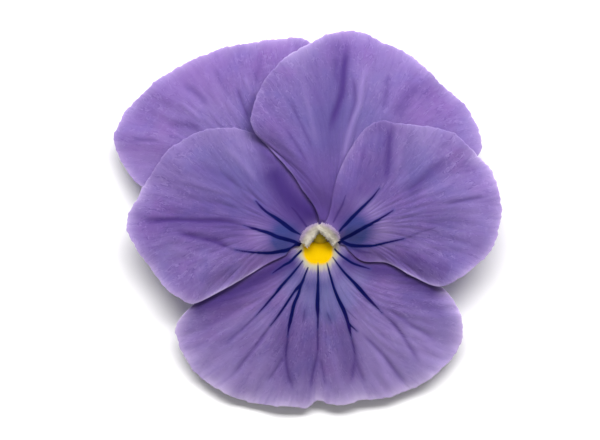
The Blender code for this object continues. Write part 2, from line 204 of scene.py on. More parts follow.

# The petals. As in the solid model: foot and claw (the angle at which the claw stands and its width; the
# lower petal's is None, as it stands on the spur), levels (angle, layer), lip and outline.
# Only here: deep is how far dark violet reaches from the throat. The pale margin entry gives how pale the
# margin is, partly its own paler colour and partly painted light that the thin edge lets through, how far
# in that goes, and the middle and half width in degrees of the stretch that lies over no other petal. folds
# and shade are curves with their width and amount; a fold below 0 is a furrow, sunk and painted darker as
# painted shade, above 0 a ridge, raised and painted lighter as painted highlight; shade is painted shade
# under the edges of petals above and along furrows. guides, the dark lines from the throat, and thin, their
# fine ends, have half widths from end to end instead. lift, halo, mist, pink, blue and pale are soft
# patches (x, y, radius, amount); pink, blue and pale are partly the petal's own uneven colour and partly
# painted light and shade of broad soft undulations.
UPPER_LEFT = {
    "foot": 122, "claw": 1.6, "levels": ((0, 0),), "deep": 8, "pale_and_lit_rim": (0.66, 0.64, 140, 180),
    "lip": ((-0.7, 3.3), (-1.7, 3.1), (-2.6, 2.6)),
    "outline": (
        (-0.4, 5.5), (0.9, 13), (1.3, 18), (1, 22.3), (0, 25.9), (-1.6, 27.8), (-4, 28.3), (-10.2, 27.5),
        (-13.3, 26.9), (-17.2, 25.5), (-22.5, 22.6), (-26.8, 18.6), (-28.1, 16.7), (-29.1, 14),
        (-27.8, 10.2), (-24.9, 6.9), (-21.8, 6.1), (-16.9, 5.2), (-10.5, 4.3), (-4.8, 3.3),
    ),
    "folds": (
        (((-11.8, 21.7), (-10.8, 18.7), (-9.8, 16.2)), 0.3, -0.6),
        (((-19.7, 21.7), (-17.2, 20.1), (-15.6, 18.4)), 0.5, -0.35),
        (((-21.7, 15.9), (-18.1, 15.7), (-16.3, 15.3)), 0.5, -0.35),
        (((-20.1, 19.4), (-18.3, 18), (-16.4, 16.3)), 0.35, 0.5),
        (((-10.8, 23.1), (-10, 21.4), (-9.6, 20.1)), 0.3, 0.5),
        (((-27, 13.9), (-25.2, 13.7), (-22.5, 13.6)), 0.25, -0.4),
        (((-14.9, 24.2), (-13.7, 21.7), (-12.3, 19.1)), 0.4, -0.3),
        (((-24, 18), (-21.1, 17.2), (-18.3, 16)), 0.6, 0.25),
        (((-8.1, 26.2), (-8.6, 23.4), (-8.9, 21.1)), 0.6, -0.35),
    ),
    "shade": ((((-9.2, 19.4), (-9.9, 16.5), (-9, 14)), 0.8, 0.5),),
    "pink": ((-17, 23, 6, 0.9), (-24, 13, 4.5, 0.5), (-5, 25.5, 4, 0.5)),
    "blue": ((-15, 17, 6, 0.5),),
    "pale": ((-26, 10, 3.5, 0.5), (-14.6, 18.5, 2.4, 0.35)),
}
UPPER_RIGHT = {
    "foot": 60, "claw": 1.6, "levels": ((78, 1), (108, 2)), "deep": 15.5, "pale_and_lit_rim": (0.66, 0.66, 60, 37),
    "lip": ((2.2, 1.9), (1.1, 1.5), (0, 1.35)),
    "outline": (
        (4.1, 2.7), (7.9, 4.3), (17.9, 7.9), (21.1, 9.9), (22.7, 11.8), (23, 13.6), (21.3, 17.9), (17, 22),
        (13.4, 25.45), (9, 27.65), (5.2, 29.2), (1.6, 28.8), (-2.3, 26.9), (-5.8, 24.5), (-8.5, 20.7),
        (-9.6, 17), (-9.2, 15), (-7.9, 13.5), (-4.1, 9.3), (-2.3, 6.6), (-0.75, 4.6),
    ),
    "lift": ((0, 2.6, 1.4, 0.3),),
    "folds": (
        (((4.4, 28.2), (3.9, 26.2), (3.5, 23.4), (3.3, 20.6), (2.7, 18.7), (1.8, 15.9), (1.7, 13.7)),
         0.6, -1),
        (((2.5, 25.8), (2.7, 23.4), (3, 21.1)), 0.8, -0.5),
        (((4.6, 23.4), (5.1, 19.6), (4.6, 17.2), (3.8, 14.3)), 0.35, -0.6),
        (((7.1, 25.4), (6.1, 22), (5.7, 18.7), (4.6, 15.9), (3.7, 12.3), (2.6, 8.5)), 0.45, 0.8),
        (((9.9, 23.4), (9.6, 20.7), (9.2, 17.7)), 0.45, -0.4),
        (((13.8, 22), (11.8, 18.7), (10.6, 16.6)), 0.9, -0.4),
        (((-4.3, 19.4), (-2, 14.7), (-0.7, 11.6)), 0.3, -0.45),
        (((-5.2, 15.9), (-3, 12.6), (-1.4, 9.5)), 0.3, -0.45),
        (((-0.9, 27.6), (-0.4, 23.7), (0.1, 18), (0.4, 12.3)), 1.6, -0.3),
        (((-2.7, 23.7), (-1.6, 18.7), (-0.1, 12.3)), 0.35, 0.35),
        (((-7.8, 12.3), (-4.6, 9.3), (-2.9, 7), (-1.5, 5.3)), 0.3, 0.9),
    ),
    "shade": (
        (((-5, 10), (-2, 6), (-0.2, 3.6)), 2, 0.22), (((2.2, 7), (3.6, 11)), 0.9, 0.3),
        (((15, 20.5), (17.5, 22.5)), 1.6, 0.2), (((2.6, 26.5), (2.8, 20), (1.8, 13)), 1.7, 0.38),
    ),
    "pink": ((15, 18, 5, 0.6), (4, 27.5, 3, 0.4)),
    "blue": ((1, 17, 5.5, 0.9), (9, 16, 4.5, 0.5)),
    "pale": ((-1.5, 25.5, 3, 0.6), (11, 25, 3.5, 0.5), (7, 22, 3, 0.4), (21, 14.5, 3, 0.6)),
}
SIDE_LEFT = {
    "foot": 196, "claw": 2.2, "levels": ((0, 1),), "deep": 14, "pale_and_lit_rim": (0.88, 0.68, 187, 20),
    "lip": ((0.2, 1.35), (-1.6, 0.35), (-3, -1.3)),
    "outline": (
        (0.5, 3), (-0.4, 6.7), (-1.9, 9.5), (-3.7, 12), (-6.2, 13.8), (-8.9, 14.6), (-13, 15.5),
        (-17.4, 14.7), (-21.4, 12.2), (-24, 8.5), (-26.6, 4), (-27.2, 2), (-26.8, -0.1), (-23.4, -5.1),
        (-21.4, -7.5), (-19.6, -8.8), (-17.6, -9.4), (-13.8, -7.6), (-9.8, -5.3), (-7.2, -3.7),
        (-4.7, -2.55),
    ),
    "lift": ((0.2, 2.6, 1.4, -0.3),),
    "folds": (
        (((-25.9, 2.1), (-21.5, 2.4), (-17.6, 2.3), (-13.2, 2.3), (-10.5, 1.7)), 0.5, -0.9),
        (((-24, 3.7), (-19, 3.4), (-13.3, 3.5)), 1.6, -0.35),
        (((-20.8, 0.8), (-17.2, -0.1), (-14.7, -0.6), (-12, -1.6)), 0.55, -0.8),
        (((-21.1, 8.4), (-17.6, 7.5), (-14.7, 6.7), (-11.2, 5.4)), 0.5, 0.4),
        (((-18.9, 10.1), (-14.7, 8.9), (-11.2, 6.9)), 0.9, -0.35),
        (((-13.7, 12.9), (-11.2, 10.8), (-8.5, 7.5)), 0.5, 0.4),
        (((-16.9, 5), (-13.7, 4.4), (-11.2, 3.4)), 0.5, -0.3),
        (((-22.5, -0.9), (-18.3, -2.4), (-13.3, -3.5)), 0.6, 0.3),
        (((-17.4, -6.7), (-14.7, -5.5), (-11.2, -4.4)), 0.8, -0.3),
    ),
    "guides": (
        (((-2.7, 0.4), (-3.8, 1), (-5, 1.9), (-6.1, 2.7), (-7.5, 3.6), (-9, 5.1)),
         (0.05, 0.28, 0.31, 0.25, 0.18, 0.13, 0.02)),
        (((-2.7, -1.1), (-3.6, -0.6), (-5, -0.2), (-6.1, 0.1), (-7.2, 0.6), (-10.6, 1.6)),
         (0.22, 0.26, 0.27, 0.26, 0.22, 0.14, 0.02)),
        (((-3.1, -1), (-3.7, -1.5), (-4.4, -1.8), (-5.5, -2), (-7.2, -2.2), (-9.8, -2.1), (-11.8, -1.8)),
         (0.3, 0.3, 0.26, 0.2, 0.14, 0.09, 0.02)),
        (((-2.5, -0.9), (-3, -1.35)), (0.24, 0.3)),
    ),
    "thin": (
        (((-1.8, 1.5), (-2.5, 2.5), (-3.4, 3.7), (-3.9, 4.2)), (0.12, 0.15, 0.13, 0.05), 0.9),
        (((-9.8, -2.1), (-11.8, -1.8), (-13.8, -1.1), (-16, -0.3)), (0.12, 0.16, 0.05), 0.55),
        (((-10.6, 1.6), (-13, 2), (-17, 2.1)), (0.1, 0.12, 0.04), 0.5),
    ),
    "shade": (
        (((-9.5, 15.5), (-8.2, 13), (-6.6, 10.6)), 1.3, 0.6),
        (((-23.5, 1.8), (-18, 1.6), (-12, 1.2)), 1.6, 0.36),
        (((-19, 7.5), (-14, 6.5), (-9.5, 5.5)), 2.4, 0.22),
        (((-6.2, 8.6), (-4.9, 6.4), (-3.3, 4.6), (-1.8, 3.6), (-0.4, 2.6)), 1.9, 1),
    ),
    "halo": (
        (-3.9, -1, 1.4, 1), (-4.4, 0.6, 1.5, 0.9), (-5, -0.9, 1.3, 1), (-5.7, 1.2, 1.1, 0.5),
        (-6, -0.4, 1.1, 0.8),
    ),
    "pink": ((-9.5, 0.4, 1.6, 0.7), (-10, -3.6, 2.6, 0.4)),
    "blue": ((-11, 8, 5, 0.7), (-15, 10.5, 4, 0.4)),
    "pale": (
        (-10.5, 13.5, 3, 0.5), (-20, 9, 3.5, 0.4), (-15, -6.5, 3, 0.4), (-8.3, 0.3, 1.6, 0.6),
        (-21.4, -2.3, 2, 0.5), (-15, 14.6, 2.6, 0.4),
    ),
}
SIDE_RIGHT = {
    "foot": -16, "claw": 2.2, "levels": ((-10, 1), (20, 2)), "deep": 9.5, "pale_and_lit_rim": (0.92, 0.72, 2, 23),
    "lip": ((3.2, -1.1), (1.9, 0.4), (0.1, 1.45)),
    "outline": (
        (4.1, -1.8), (6.2, -3.4), (9.8, -3.7), (13.3, -5.6), (17.2, -7), (21, -5), (24.5, -1.6),
        (25.8, 3.8), (24.5, 9.1), (20.7, 13.2), (18.6, 14.9), (14, 15.8), (10.6, 16.1), (8.5, 16.4),
        (6.4, 15.2), (4.1, 11.9), (2.7, 8.9), (2.1, 6.7), (1.7, 4.4),
    ),
    "folds": (
        (((10.6, 16.2), (9.9, 13.6), (9.7, 10.1), (9.2, 7.2)), 0.55, -0.8),
        (((18.4, 11.3), (15.4, 8.8), (13.6, 7), (11.5, 5.4)), 0.8, -0.6),
        (((23.7, 5.8), (20.7, 5.2), (17.2, 4.4)), 0.3, -0.4),
        (((22.5, 2.1), (18.6, 2.1), (14.3, 1.8)), 0.5, -0.3),
        (((11.5, 15.2), (11.5, 12.3), (10.9, 8.8)), 0.5, 0.4),
        (((21.4, 9.5), (17.2, 7.2), (13.6, 5.2)), 0.5, 0.35),
        (((6.2, 13.7), (6.1, 10.9), (5.5, 7.8)), 0.5, -0.35),
        (((7.9, 15.5), (7.8, 12.3), (7.2, 8.4)), 0.4, 0.25),
        (((18.9, -5), (15.7, -3.8), (12, -2.4)), 0.6, -0.4),
        (((21.4, -1.6), (17.2, -1.3), (12.2, -1.3)), 0.6, 0.3),
    ),
    "guides": (
        (((2.9, 0.9), (3.4, 1.4), (4.1, 2.1), (5, 3.1), (6, 4.1), (7.5, 5.6), (8.5, 6.9)),
         (0.1, 0.22, 0.25, 0.21, 0.16, 0.11, 0.02)),
        (((2.4, -1.3), (3.3, -0.3), (4.6, 0.4), (6, 1.2), (7.5, 2), (8.9, 2.8), (10.5, 3.8)),
         (0.28, 0.24, 0.26, 0.24, 0.18, 0.11, 0.02)),
        (((3.3, -0.6), (4.1, -1), (5.2, -1.2), (7.5, -1.2), (8.4, -1), (10.2, -0.6), (12, -0.2)),
         (0.25, 0.28, 0.22, 0.16, 0.13, 0.09, 0.02)),
    ),
    "thin": (
        (((2, 2.1), (2.6, 3.2), (3.3, 4.5), (3.8, 5.9)), (0.1, 0.15, 0.12, 0.04), 0.75),
        (((10.2, -0.6), (12, -0.2), (14, 0.6), (16.5, 1.4)), (0.12, 0.15, 0.05), 0.5),
        (((4.4, -1.4), (6, -2), (7.4, -2.2)), (0.2, 0.22, 0.05), 0.6),
    ),
    "shade": (
        (((9, 15), (8, 10), (6.4, 6.5)), 2.6, 0.4), (((14.5, -5), (17.5, -5.4)), 1.6, 0.3),
        (((3.5, -2.6), (8, -2.7), (13, -3.8)), 1.6, 0.4), (((13, 12), (12.5, 7)), 2.2, 0.2),
        (((10, 7), (14, 4.5), (18, 3.5)), 2.4, 0.18),
    ),
    "halo": (
        (4.4, -0.4, 1.4, 1), (4.8, 1.6, 1.4, 0.85), (5.7, 0.1, 1.4, 0.9), (5.7, 2.4, 1, 0.5),
        (7, 1.4, 1.2, 0.5),
    ),
    "pink": ((8.8, 1.2, 1.6, 0.7), (8.5, -2.5, 2.2, 0.4)),
    "blue": ((13.5, 10, 3.2, 0.8), (17, 3, 4.5, 0.4)),
    "pale": (
        (15, 14, 3, 0.7), (23.5, 6, 3, 0.4), (22.5, 1.5, 3.5, 0.6), (19.4, 4.7, 3, 0.35),
        (9, -0.2, 1.7, 0.6), (7.4, 4.6, 1.4, 0.5), (7.7, 3.2, 1.3, 0.5), (5.9, 4.7, 1.3, 0.5),
        (9.2, 1.5, 1.4, 0.5),
    ),
}
LOWER = {
    "claw": None, "levels": ((0, 0),), "pale_and_lit_rim": (1.25, 1.05, 270, 180),
    "lip": ((-2.9, -0.9), (-1.6, -0.6), (0.1, -0.42), (1.8, -0.5), (3.3, -0.7)),
    "outline": (
        (-3.9, -0.7), (-8.1, -2.4), (-13.8, -6), (-17.7, -9.5), (-19.7, -11.5), (-20.5, -13.3),
        (-20.2, -14.2), (-19.3, -16.6), (-17.9, -18.9), (-15.9, -20.6), (-13.9, -22), (-11.1, -23.1),
        (-9.1, -23.7), (-4.8, -24.1), (-2.6, -24.3), (-1.6, -24.3), (-0.95, -23.7), (-0.3, -23.2),
        (0.6, -23.4), (1.7, -23.9), (3.7, -23.8), (6.5, -23.1), (7.5, -23.2), (10.8, -22.5), (13.6, -21.4),
        (16.4, -19.7), (18.7, -17.4), (20.4, -14.3), (19.6, -9.8), (16.3, -6.2), (10.8, -2.8), (7.5, -1.6),
        (4.4, -0.4),
    ),
    "folds": (
        (((-0.2, -12), (-0.2, -16.5), (-0.9, -19.4), (-1.3, -22.7)), 0.3, -0.7),
        (((-0.1, -16.6), (0.5, -18.7), (1.1, -21.7)), 0.3, -0.5),
        (((-4.4, -13.7), (-4.7, -16.5), (-4.3, -19.8), (-3.3, -22.1)), 0.3, -0.7),
        (((-4.7, -16.3), (-5.8, -18.3), (-7.5, -20.7)), 0.3, -0.5),
        (((4.4, -13.7), (5.1, -16.5), (4.9, -18.7), (4.4, -21.3)), 0.3, -0.7),
        (((5.1, -16.3), (5.5, -18.3), (6.7, -21.1)), 0.3, -0.5),
        (((-6.4, -12.1), (-8.9, -15.4), (-10.8, -17.8), (-12.9, -20.4)), 0.35, -0.6),
        (((-8.1, -10.6), (-11.3, -13.4), (-13.7, -15.7)), 0.35, -0.5),
        (((9.2, -10.8), (11.1, -13), (12.7, -15.4), (14.5, -18.3)), 0.35, -0.6),
        (((9.2, -9.8), (13.3, -12.6), (17.2, -15)), 0.35, -0.5),
        (((5.4, -13), (8.9, -16.5), (11.1, -19.4), (13.2, -21.8)), 0.35, -0.6),
        (((-9.8, -8.9), (-13.7, -11.2), (-17.4, -13.5)), 0.6, -0.35),
        (((-2.3, -16), (-2.3, -19.1), (-2.3, -22.8)), 0.6, 0.5),
        (((2.3, -16), (2.6, -19.1), (2.8, -22.5)), 0.6, 0.5),
        (((-6.9, -16.3), (-8.8, -19.6), (-10.2, -22.3)), 0.6, 0.5),
        (((7.8, -16), (9.2, -19.1), (10.3, -22)), 0.6, 0.5),
        (((-11.2, -15.7), (-13.7, -18.3), (-15.7, -20.3)), 0.6, 0.4),
        (((12.9, -12.9), (15.7, -15.5), (18, -17.4)), 0.6, 0.4),
        (((10.3, -7.8), (14.3, -9.5), (18.6, -11.5)), 0.8, -0.3),
    ),
    "guides": (
        (((-0.15, -3.6), (-0.15, -6.2), (-0.2, -9.6), (-0.15, -10.8), (-0.2, -12.9)),
         (0.04, 0.13, 0.17, 0.22, 0.3, 0.3, 0.12, 0.02)),
        (((-1.55, -4.3), (-1.9, -5.1), (-2.5, -6.6), (-3.4, -7.6), (-4.6, -9.4), (-6.1, -11.5),
          (-6.9, -12.5)), (0.06, 0.14, 0.24, 0.16, 0.16, 0.14, 0.1, 0.02)),
        (((-2.5, -6.6), (-3, -8.2), (-3.5, -9.4), (-3.9, -11.1), (-4.3, -12.9), (-4.4, -14)),
         (0.18, 0.2, 0.22, 0.25, 0.22, 0.02)),
        (((-2.3, -3.35), (-3.7, -5.1), (-5.4, -7), (-6.1, -7.9), (-7.7, -9.8), (-8.9, -11.1)),
         (0.05, 0.13, 0.17, 0.18, 0.17, 0.12, 0.02)),
        (((1.1, -3.6), (1.5, -5.1), (2.3, -7.8), (3.5, -10.4), (4, -11.8), (4.3, -12.9), (4.6, -14.3)),
         (0.03, 0.12, 0.17, 0.22, 0.28, 0.27, 0.22, 0.02)),
        (((1.9, -2.8), (3.4, -4.8), (5.4, -6.9), (6.7, -8.4), (7.7, -9.4), (8.9, -10.7)),
         (0.04, 0.12, 0.18, 0.25, 0.28, 0.14, 0.02)),
        (((2.2, -1.7), (2.9, -2.4), (3.7, -3), (4.6, -3.6), (5.6, -4), (7.2, -4.5)),
         (0.1, 0.15, 0.16, 0.13, 0.02)),
        (((-2.5, -1.9), (-3.4, -2.8), (-4.1, -3.5), (-5, -4), (-6.6, -5.1)),
         (0.14, 0.17, 0.16, 0.13, 0.02)),
        (((4, -11.8), (4.5, -12.5), (5.4, -13.3)), (0.12, 0.1, 0.02)),
    ),
    "thin": (
        (((3, -9.5), (3.9, -10.3), (5.4, -11.7)), (0.12, 0.1, 0.03), 0.5),
        (((-2, -10.2), (-2.3, -12.1)), (0.06, 0.16, 0.06), 0.6),
        (((1.2, -10.8), (1.8, -12.3)), (0.06, 0.15, 0.05), 0.65),
        (((-0.2, -12), (-0.2, -16)), (0.14, 0.12, 0.04), 0.8),
        (((-6.9, -12.5), (-9.1, -15.3)), (0.1, 0.1, 0.04), 0.5),
        (((-4.4, -14), (-4.7, -17)), (0.12, 0.12, 0.04), 0.75),
        (((-8.9, -11.1), (-11, -13.2)), (0.1, 0.1, 0.04), 0.5),
        (((4.6, -14.3), (5.1, -16.8)), (0.12, 0.12, 0.04), 0.75),
        (((8.9, -10.7), (11, -12.7), (12.4, -14.6)), (0.12, 0.12, 0.04), 0.6),
    ),
    "shade": (
        (((-16.9, -9.6), (-12.3, -7.9), (-7.2, -5), (-3.9, -3.1)), 1.7, 0.95),
        (((3.9, -2.9), (6.1, -4.3), (10.1, -4.6), (13.2, -6), (16, -7.5)), 1.5, 0.85),
        (((-1.5, -14.5), (-1.9, -19)), 2, 0.35), (((-4.6, -13.5), (-4.4, -19.5)), 1.8, 0.45),
        (((3.6, -13.5), (4.4, -18.5)), 1.9, 0.45),
    ),
    "halo": (
        (-0.9, -6.6, 1.7, 0.6), (-3, -5, 1.5, 0.35), (3.2, -4.8, 1.5, 0.3), (0.4, -9.5, 2.4, 0.33),
        (1.3, -6.7, 1.2, 0.35), (-1.9, -10.6, 1, 0.4), (1.5, -11.2, 1, 0.5), (-4.3, -5.4, 1.1, 0.2),
    ),
    "mist": (
        (4, -9.2, 1.3, 0.4), (3.4, -6.8, 1.6, 0.4), (-3.4, -6.9, 1.6, 0.5), (1, -7.4, 1.8, 0.6),
        (-1.4, -8.8, 1.6, 0.4), (0.8, -10.4, 1.8, 0.45), (5.6, -5.6, 1.4, 0.3),
    ),
    "pink": ((-7.5, -6.8, 2.4, 0.6), (-11, -9.5, 3.5, 0.4), (9.5, -6.6, 2.6, 0.4)),
    "blue": ((16.5, -12.5, 3.5, 0.4), (3, -8.5, 1.8, 0.7)),
    "pale": (
        (8, -15.5, 4.5, 0.7), (-9, -19, 4, 0.5), (13, -19, 3.5, 0.8), (12.6, -14, 2.8, 0.5),
        (-2, -22, 3, 0.4), (-17, -16.5, 4.5, 0.6), (16.5, -15.5, 4.5, 0.75), (9.5, -20.5, 4.5, 0.75),
        (4, -22.5, 3, 0.5), (-7, -22.5, 3.5, 0.5), (-14, -20, 4, 0.7), (5.8, -12.3, 2.4, 0.6),
        (-11, -12.3, 2.4, 0.5), (-7.6, -12.3, 2, 0.5), (16, -19, 3, 0.7),
    ),
}
PETALS = {
    "petal_upper_left": UPPER_LEFT,
    "petal_upper_right": UPPER_RIGHT,
    "petal_side_left": SIDE_LEFT,
    "petal_side_right": SIDE_RIGHT,
    "petal_lower": LOWER,
}


def rgb(red, green, blue):
    """A colour as a shader takes it, from its levels on a screen, toned down for the bright light."""
    levels = [v / 255 for v in (red, green, blue)]
    linear = [v / 12.92 if v <= 0.04045 else ((v + 0.055) / 1.055) ** 2.4 for v in levels]
    return tuple(v * COLOUR_LEVEL for v in linear) + (1.0,)


def smooth(t):
    """0 to 1 without a corner at either end."""
    t = np.clip(t, 0.0, 1.0)
    return t * t * (3.0 - 2.0 * t)


def rise(value, pair):
    """0 up to the pair's first number and 1 from its second number further on."""
    return smooth((value - pair[0]) / pair[1])


def bell(share):
    """1 at 0, falling off softly on both sides."""
    return np.exp(-(share**2))


def curve_through(points, count):
    """count points, evenly spaced, on the smooth curve through the given ones."""
    p = np.array(points, float)
    ends = np.vstack([2 * p[0] - p[1], p, 2 * p[-1] - p[-2]])
    t = np.linspace(0, 1, CURVE_STEPS, endpoint=False)[:, None]
    runs = []
    for a, b, c, d in zip(ends, ends[1:], ends[2:], ends[3:]):
        bend = (2 * a - 5 * b + 4 * c - d) * t**2 + (3 * b - a - 3 * c + d) * t**3
        runs.append(b + 0.5 * ((c - a) * t + bend))
    path = np.vstack(runs + [p[-1:]])
    walked = np.concatenate([[0], np.cumsum(np.linalg.norm(np.diff(path, axis=0), axis=1))])
    even = np.linspace(0, walked[-1], count)
    return np.stack([np.interp(even, walked, path[:, k]) for k in range(p.shape[1])], axis=1)


def from_line(x, y, points):
    """Distance of each place from a curve, and how far along the curve its nearest point lies, 0 to 1."""
    path = curve_through(points, 6 * len(points))
    gap = np.full(x.shape, np.inf)
    share = np.zeros(x.shape)
    for k, (a, b) in enumerate(zip(path, path[1:])):
        step = b - a
        t = np.clip(((x - a[0]) * step[0] + (y - a[1]) * step[1]) / (step @ step), 0, 1)
        here = np.hypot(x - a[0] - step[0] * t, y - a[1] - step[1] * t)
        nearer = here < gap
        gap = np.where(nearer, here, gap)
        share = np.where(nearer, (k + t) / (len(path) - 1), share)
    return gap, share


def unit(vectors):
    """The same vectors at length one."""
    return vectors / np.maximum(np.linalg.norm(vectors, axis=-1, keepdims=True), 1e-9)


def shares_of(values, share):
    """Values given at even steps from 0 to 1, or a single one, read at other shares."""
    values = np.atleast_1d(values)
    return np.interp(share, np.linspace(0, 1, len(values)), values)


def patched(x, y, patches):
    """Sum of soft round patches."""
    total = np.zeros(x.shape)
    for px, py, radius, amount in patches:
        total += amount * bell(np.hypot(x - px, y - py) / radius)
    return total


def lined(x, y, lines, wider=1.0, ends=None):
    """The strongest of several soft lines. ends is the share of its length over which each end fades."""
    total = np.zeros(x.shape)
    for line, widths, strength in lines:
        gap, share = from_line(x, y, line)
        band = strength * bell(gap / (wider * shares_of(widths, share)))
        if ends is not None:
            band *= smooth(share / ends) * smooth((1 - share) / ends)
        total = np.maximum(total, band)
    return total


def ring_turns(sides):
    """Angles of the points of a ring."""
    return math.tau * np.arange(sides) / sides


# Petal shape

def face_height(x, y):
    """Height of the bloom's face, a low dome that falls furthest at the lower petal."""
    r = np.hypot(x, y)
    downward = np.maximum(0.0, -y / np.maximum(r, 0.01))
    droop = DROOP_ROUND + DROOP_LOWER * downward**LOWER_POWER
    return FACE_Z - droop * (r / DROOP_AT) ** DOME_POWER


def step_height(x, y):
    """How far one layer of petals stands above the next."""
    return STEP_NEAR + (STEP_FAR - STEP_NEAR) * rise(np.hypot(x, y), STEP_GROWS)


def layer_height(levels, x, y):
    """How far the petal's layer lifts it above the face. Levels are (angle, layer) at one or two angles."""
    level = levels[0][1]
    if len(levels) > 1:
        angles = [math.radians(angle) for angle, _ in levels]
        share = smooth((np.arctan2(y, x) - angles[0]) / (angles[1] - angles[0]))
        level = level + (levels[1][1] - level) * share
    return level * step_height(x, y)


def tucked(petal, x, y):
    """How far the edge of an upper petal bends down to rest on the petal below."""
    if not any(level for _, level in petal["levels"]):
        return np.zeros(x.shape)
    gap, _ = from_line(x, y, [petal["lip"][-1], *petal["outline"], petal["lip"][0]])
    inner = 1 - rise(np.hypot(x, y), TUCK_FADES)
    return TUCK * step_height(x, y) * smooth(1 - gap / TUCK_REACH) * inner


def folded(folds, x, y):
    """How deep in the furrows and how high on the ridges each place lies, both 0 to 1: relief, painted
    shade and highlight.
    """
    furrows = [(line, width, -amount) for line, width, amount in folds if amount < 0]
    ridges = [fold for fold in folds if fold[2] > 0]
    return lined(x, y, furrows, ends=FOLD_ENDS), lined(x, y, ridges, ends=FOLD_ENDS)


def fork_veins(draw, v):
    """Across-the-petal places, 0 to 1, of veins that fork on their way out; one row for each of v."""
    places = [(k + 0.5 + draw.uniform(-0.15, 0.15)) / MAIN_VEINS for k in range(MAIN_VEINS)]
    lines = [np.full(v.shape, place) for place in places]
    spread = 0.25 / MAIN_VEINS
    for fork in VEIN_FORKS:
        split = []
        for line in lines:
            start = fork + draw.uniform(-0.09, 0.09)
            leave = rise(v, (start, 0.3))
            for side in (-1, 1):
                wander = draw.uniform(0.55, 1.3) * spread * side
                sway = 0.35 * spread * np.sin(v * draw.uniform(9, 16) + draw.uniform(0, math.tau))
                split.append(line + (wander + sway) * leave)
        lines = split
        spread *= 0.5
    return np.array(lines)


def vein_field(draw, u, v, span):
    """How strongly a vein shows at each point of the petal, 0 to 1. span is the petal's width there."""
    field = np.zeros((len(u), len(v)))
    for line in fork_veins(draw, v):
        gap = np.abs(u[:, None] - line[None, :]) * span
        strength = 0.55 + 0.45 * np.sin(v * draw.uniform(4, 12) + draw.uniform(0, math.tau))
        field = np.maximum(field, strength[None, :] * bell(gap / VEIN_WIDTH))
    return field


def claw_feet(petal, u):
    """Where the claw's columns end: on the receptacle, or in the spur's wall on the lower petal."""
    if petal["claw"] is None:
        turn = np.radians(SPUR_CLAW_TURN[0] + SPUR_CLAW_TURN[1] * u)
        middle = SPUR_RADII[0] - SPUR_MOUTH_WALL / 2
        x = SPUR_MOUTH[0] + middle * np.cos(turn)
        y = SPUR_MOUTH[1] + middle * np.sin(turn)
        return np.stack([x, y, np.full(u.shape, SPUR_MOUTH[2] - CLAW_SUNK)], axis=1)
    foot = math.radians(petal["foot"])
    across = (u - 0.5) * petal["claw"]
    x = HEART[0] + CLAW_RING * math.cos(foot) - across * math.sin(foot)
    y = HEART[1] + CLAW_RING * math.sin(foot) + across * math.cos(foot)
    return np.stack([x, y, np.full(u.shape, CUP_TOP + CLEAR)], axis=1)


def claw_points(petal, u, out, end):
    """The claw's rows of points, from its foot up to the first row of the blade."""
    start = claw_feet(petal, u)
    upward = np.array([[0.0, 0.0, 1.0]]) * (end[:, 2] - start[:, 2])[:, None]
    up = start + upward * 0.55
    bend = end - np.hstack([out, np.zeros((len(u), 1))]) * 0.25 - upward * 0.2
    t = (np.arange(CLAW_ROWS) / CLAW_ROWS)[None, :, None]
    s = 1 - t
    near = start[:, None] * s**3 + up[:, None] * 3 * s * s * t
    return near + bend[:, None] * 3 * s * t * t + end[:, None] * t**3


def fanned(lips, edge, main, shares):
    """Points along curves that leave the lip along the petal's middle and fan out to its margin."""
    length = np.linalg.norm(edge - lips, axis=1)[:, None]
    turn = lips + main * length * FAN
    t = np.linspace(0, 1, FAN_STEPS)[None, :, None]
    path = lips[:, None] * (1 - t) ** 2 + turn[:, None] * 2 * t * (1 - t) + edge[:, None] * t**2
    walked = np.cumsum(np.linalg.norm(np.diff(path, axis=1), axis=2), axis=1)
    walked = np.concatenate([np.zeros((len(path), 1)), walked], axis=1)
    even = walked[:, -1:] * shares[None, :]
    places = [[np.interp(e, w, line[:, k]) for e, w, line in zip(even, walked, path)] for k in (0, 1)]
    return np.stack(places, axis=2)


def crinkle(draw, walk, out):
    """Shallow uneven waves that run outward, between about -1 and 1."""
    total = np.zeros((len(walk), out.shape[1]))
    for _ in range(CRINKLES):
        across = 1 / draw.uniform(*CRINKLE_ACROSS)
        along = draw.choice((-1, 1)) / draw.uniform(*CRINKLE_ALONG)
        total += np.sin(math.tau * (walk[:, None] * across + out * along) + draw.uniform(0, math.tau))
    return total / CRINKLES**0.5


def mean_wave(walk, lengths, phases):
    """Waves of several lengths along a walked distance, between -1 and 1."""
    waves = [np.sin(math.tau * walk / length + phase) for length, phase in zip(lengths, phases)]
    return sum(waves) / len(waves)


def blade_height(petal, draw, walk, out_way, x, y):
    """Height of the blade's middle surface before its margin is ruffled."""
    furrow_and_shade, ridge_and_highlight = folded(petal["folds"], x, y)
    z = face_height(x, y) + layer_height(petal["levels"], x, y) + FOLD_DEPTH * (ridge_and_highlight - furrow_and_shade)
    z += patched(x, y, petal.get("lift", ()))
    return z + CRINKLE * crinkle(draw, walk, out_way) * rise(out_way, CRINKLES_GROW) - tucked(petal, x, y)


def rim_paleness_and_light(petal, margin, inward):
    """How pale the petal is towards its margin, partly painted light through the thin edge, less so over
    another petal.
    """
    near = 1 - rise(np.hypot(*margin.T), RIM_GROWS)
    strength, depth, middle, half = petal["pale_and_lit_rim"]
    turn = (np.degrees(np.arctan2(margin[:, 1], margin[:, 0])) - middle + 180) % 360 - 180
    free_rim = 1 - COVERED_RIM * rise(np.abs(turn), (half, RIM_TURNS))
    return strength * free_rim[:, None] * np.exp(-(inward + 3 * near[:, None]) / depth)


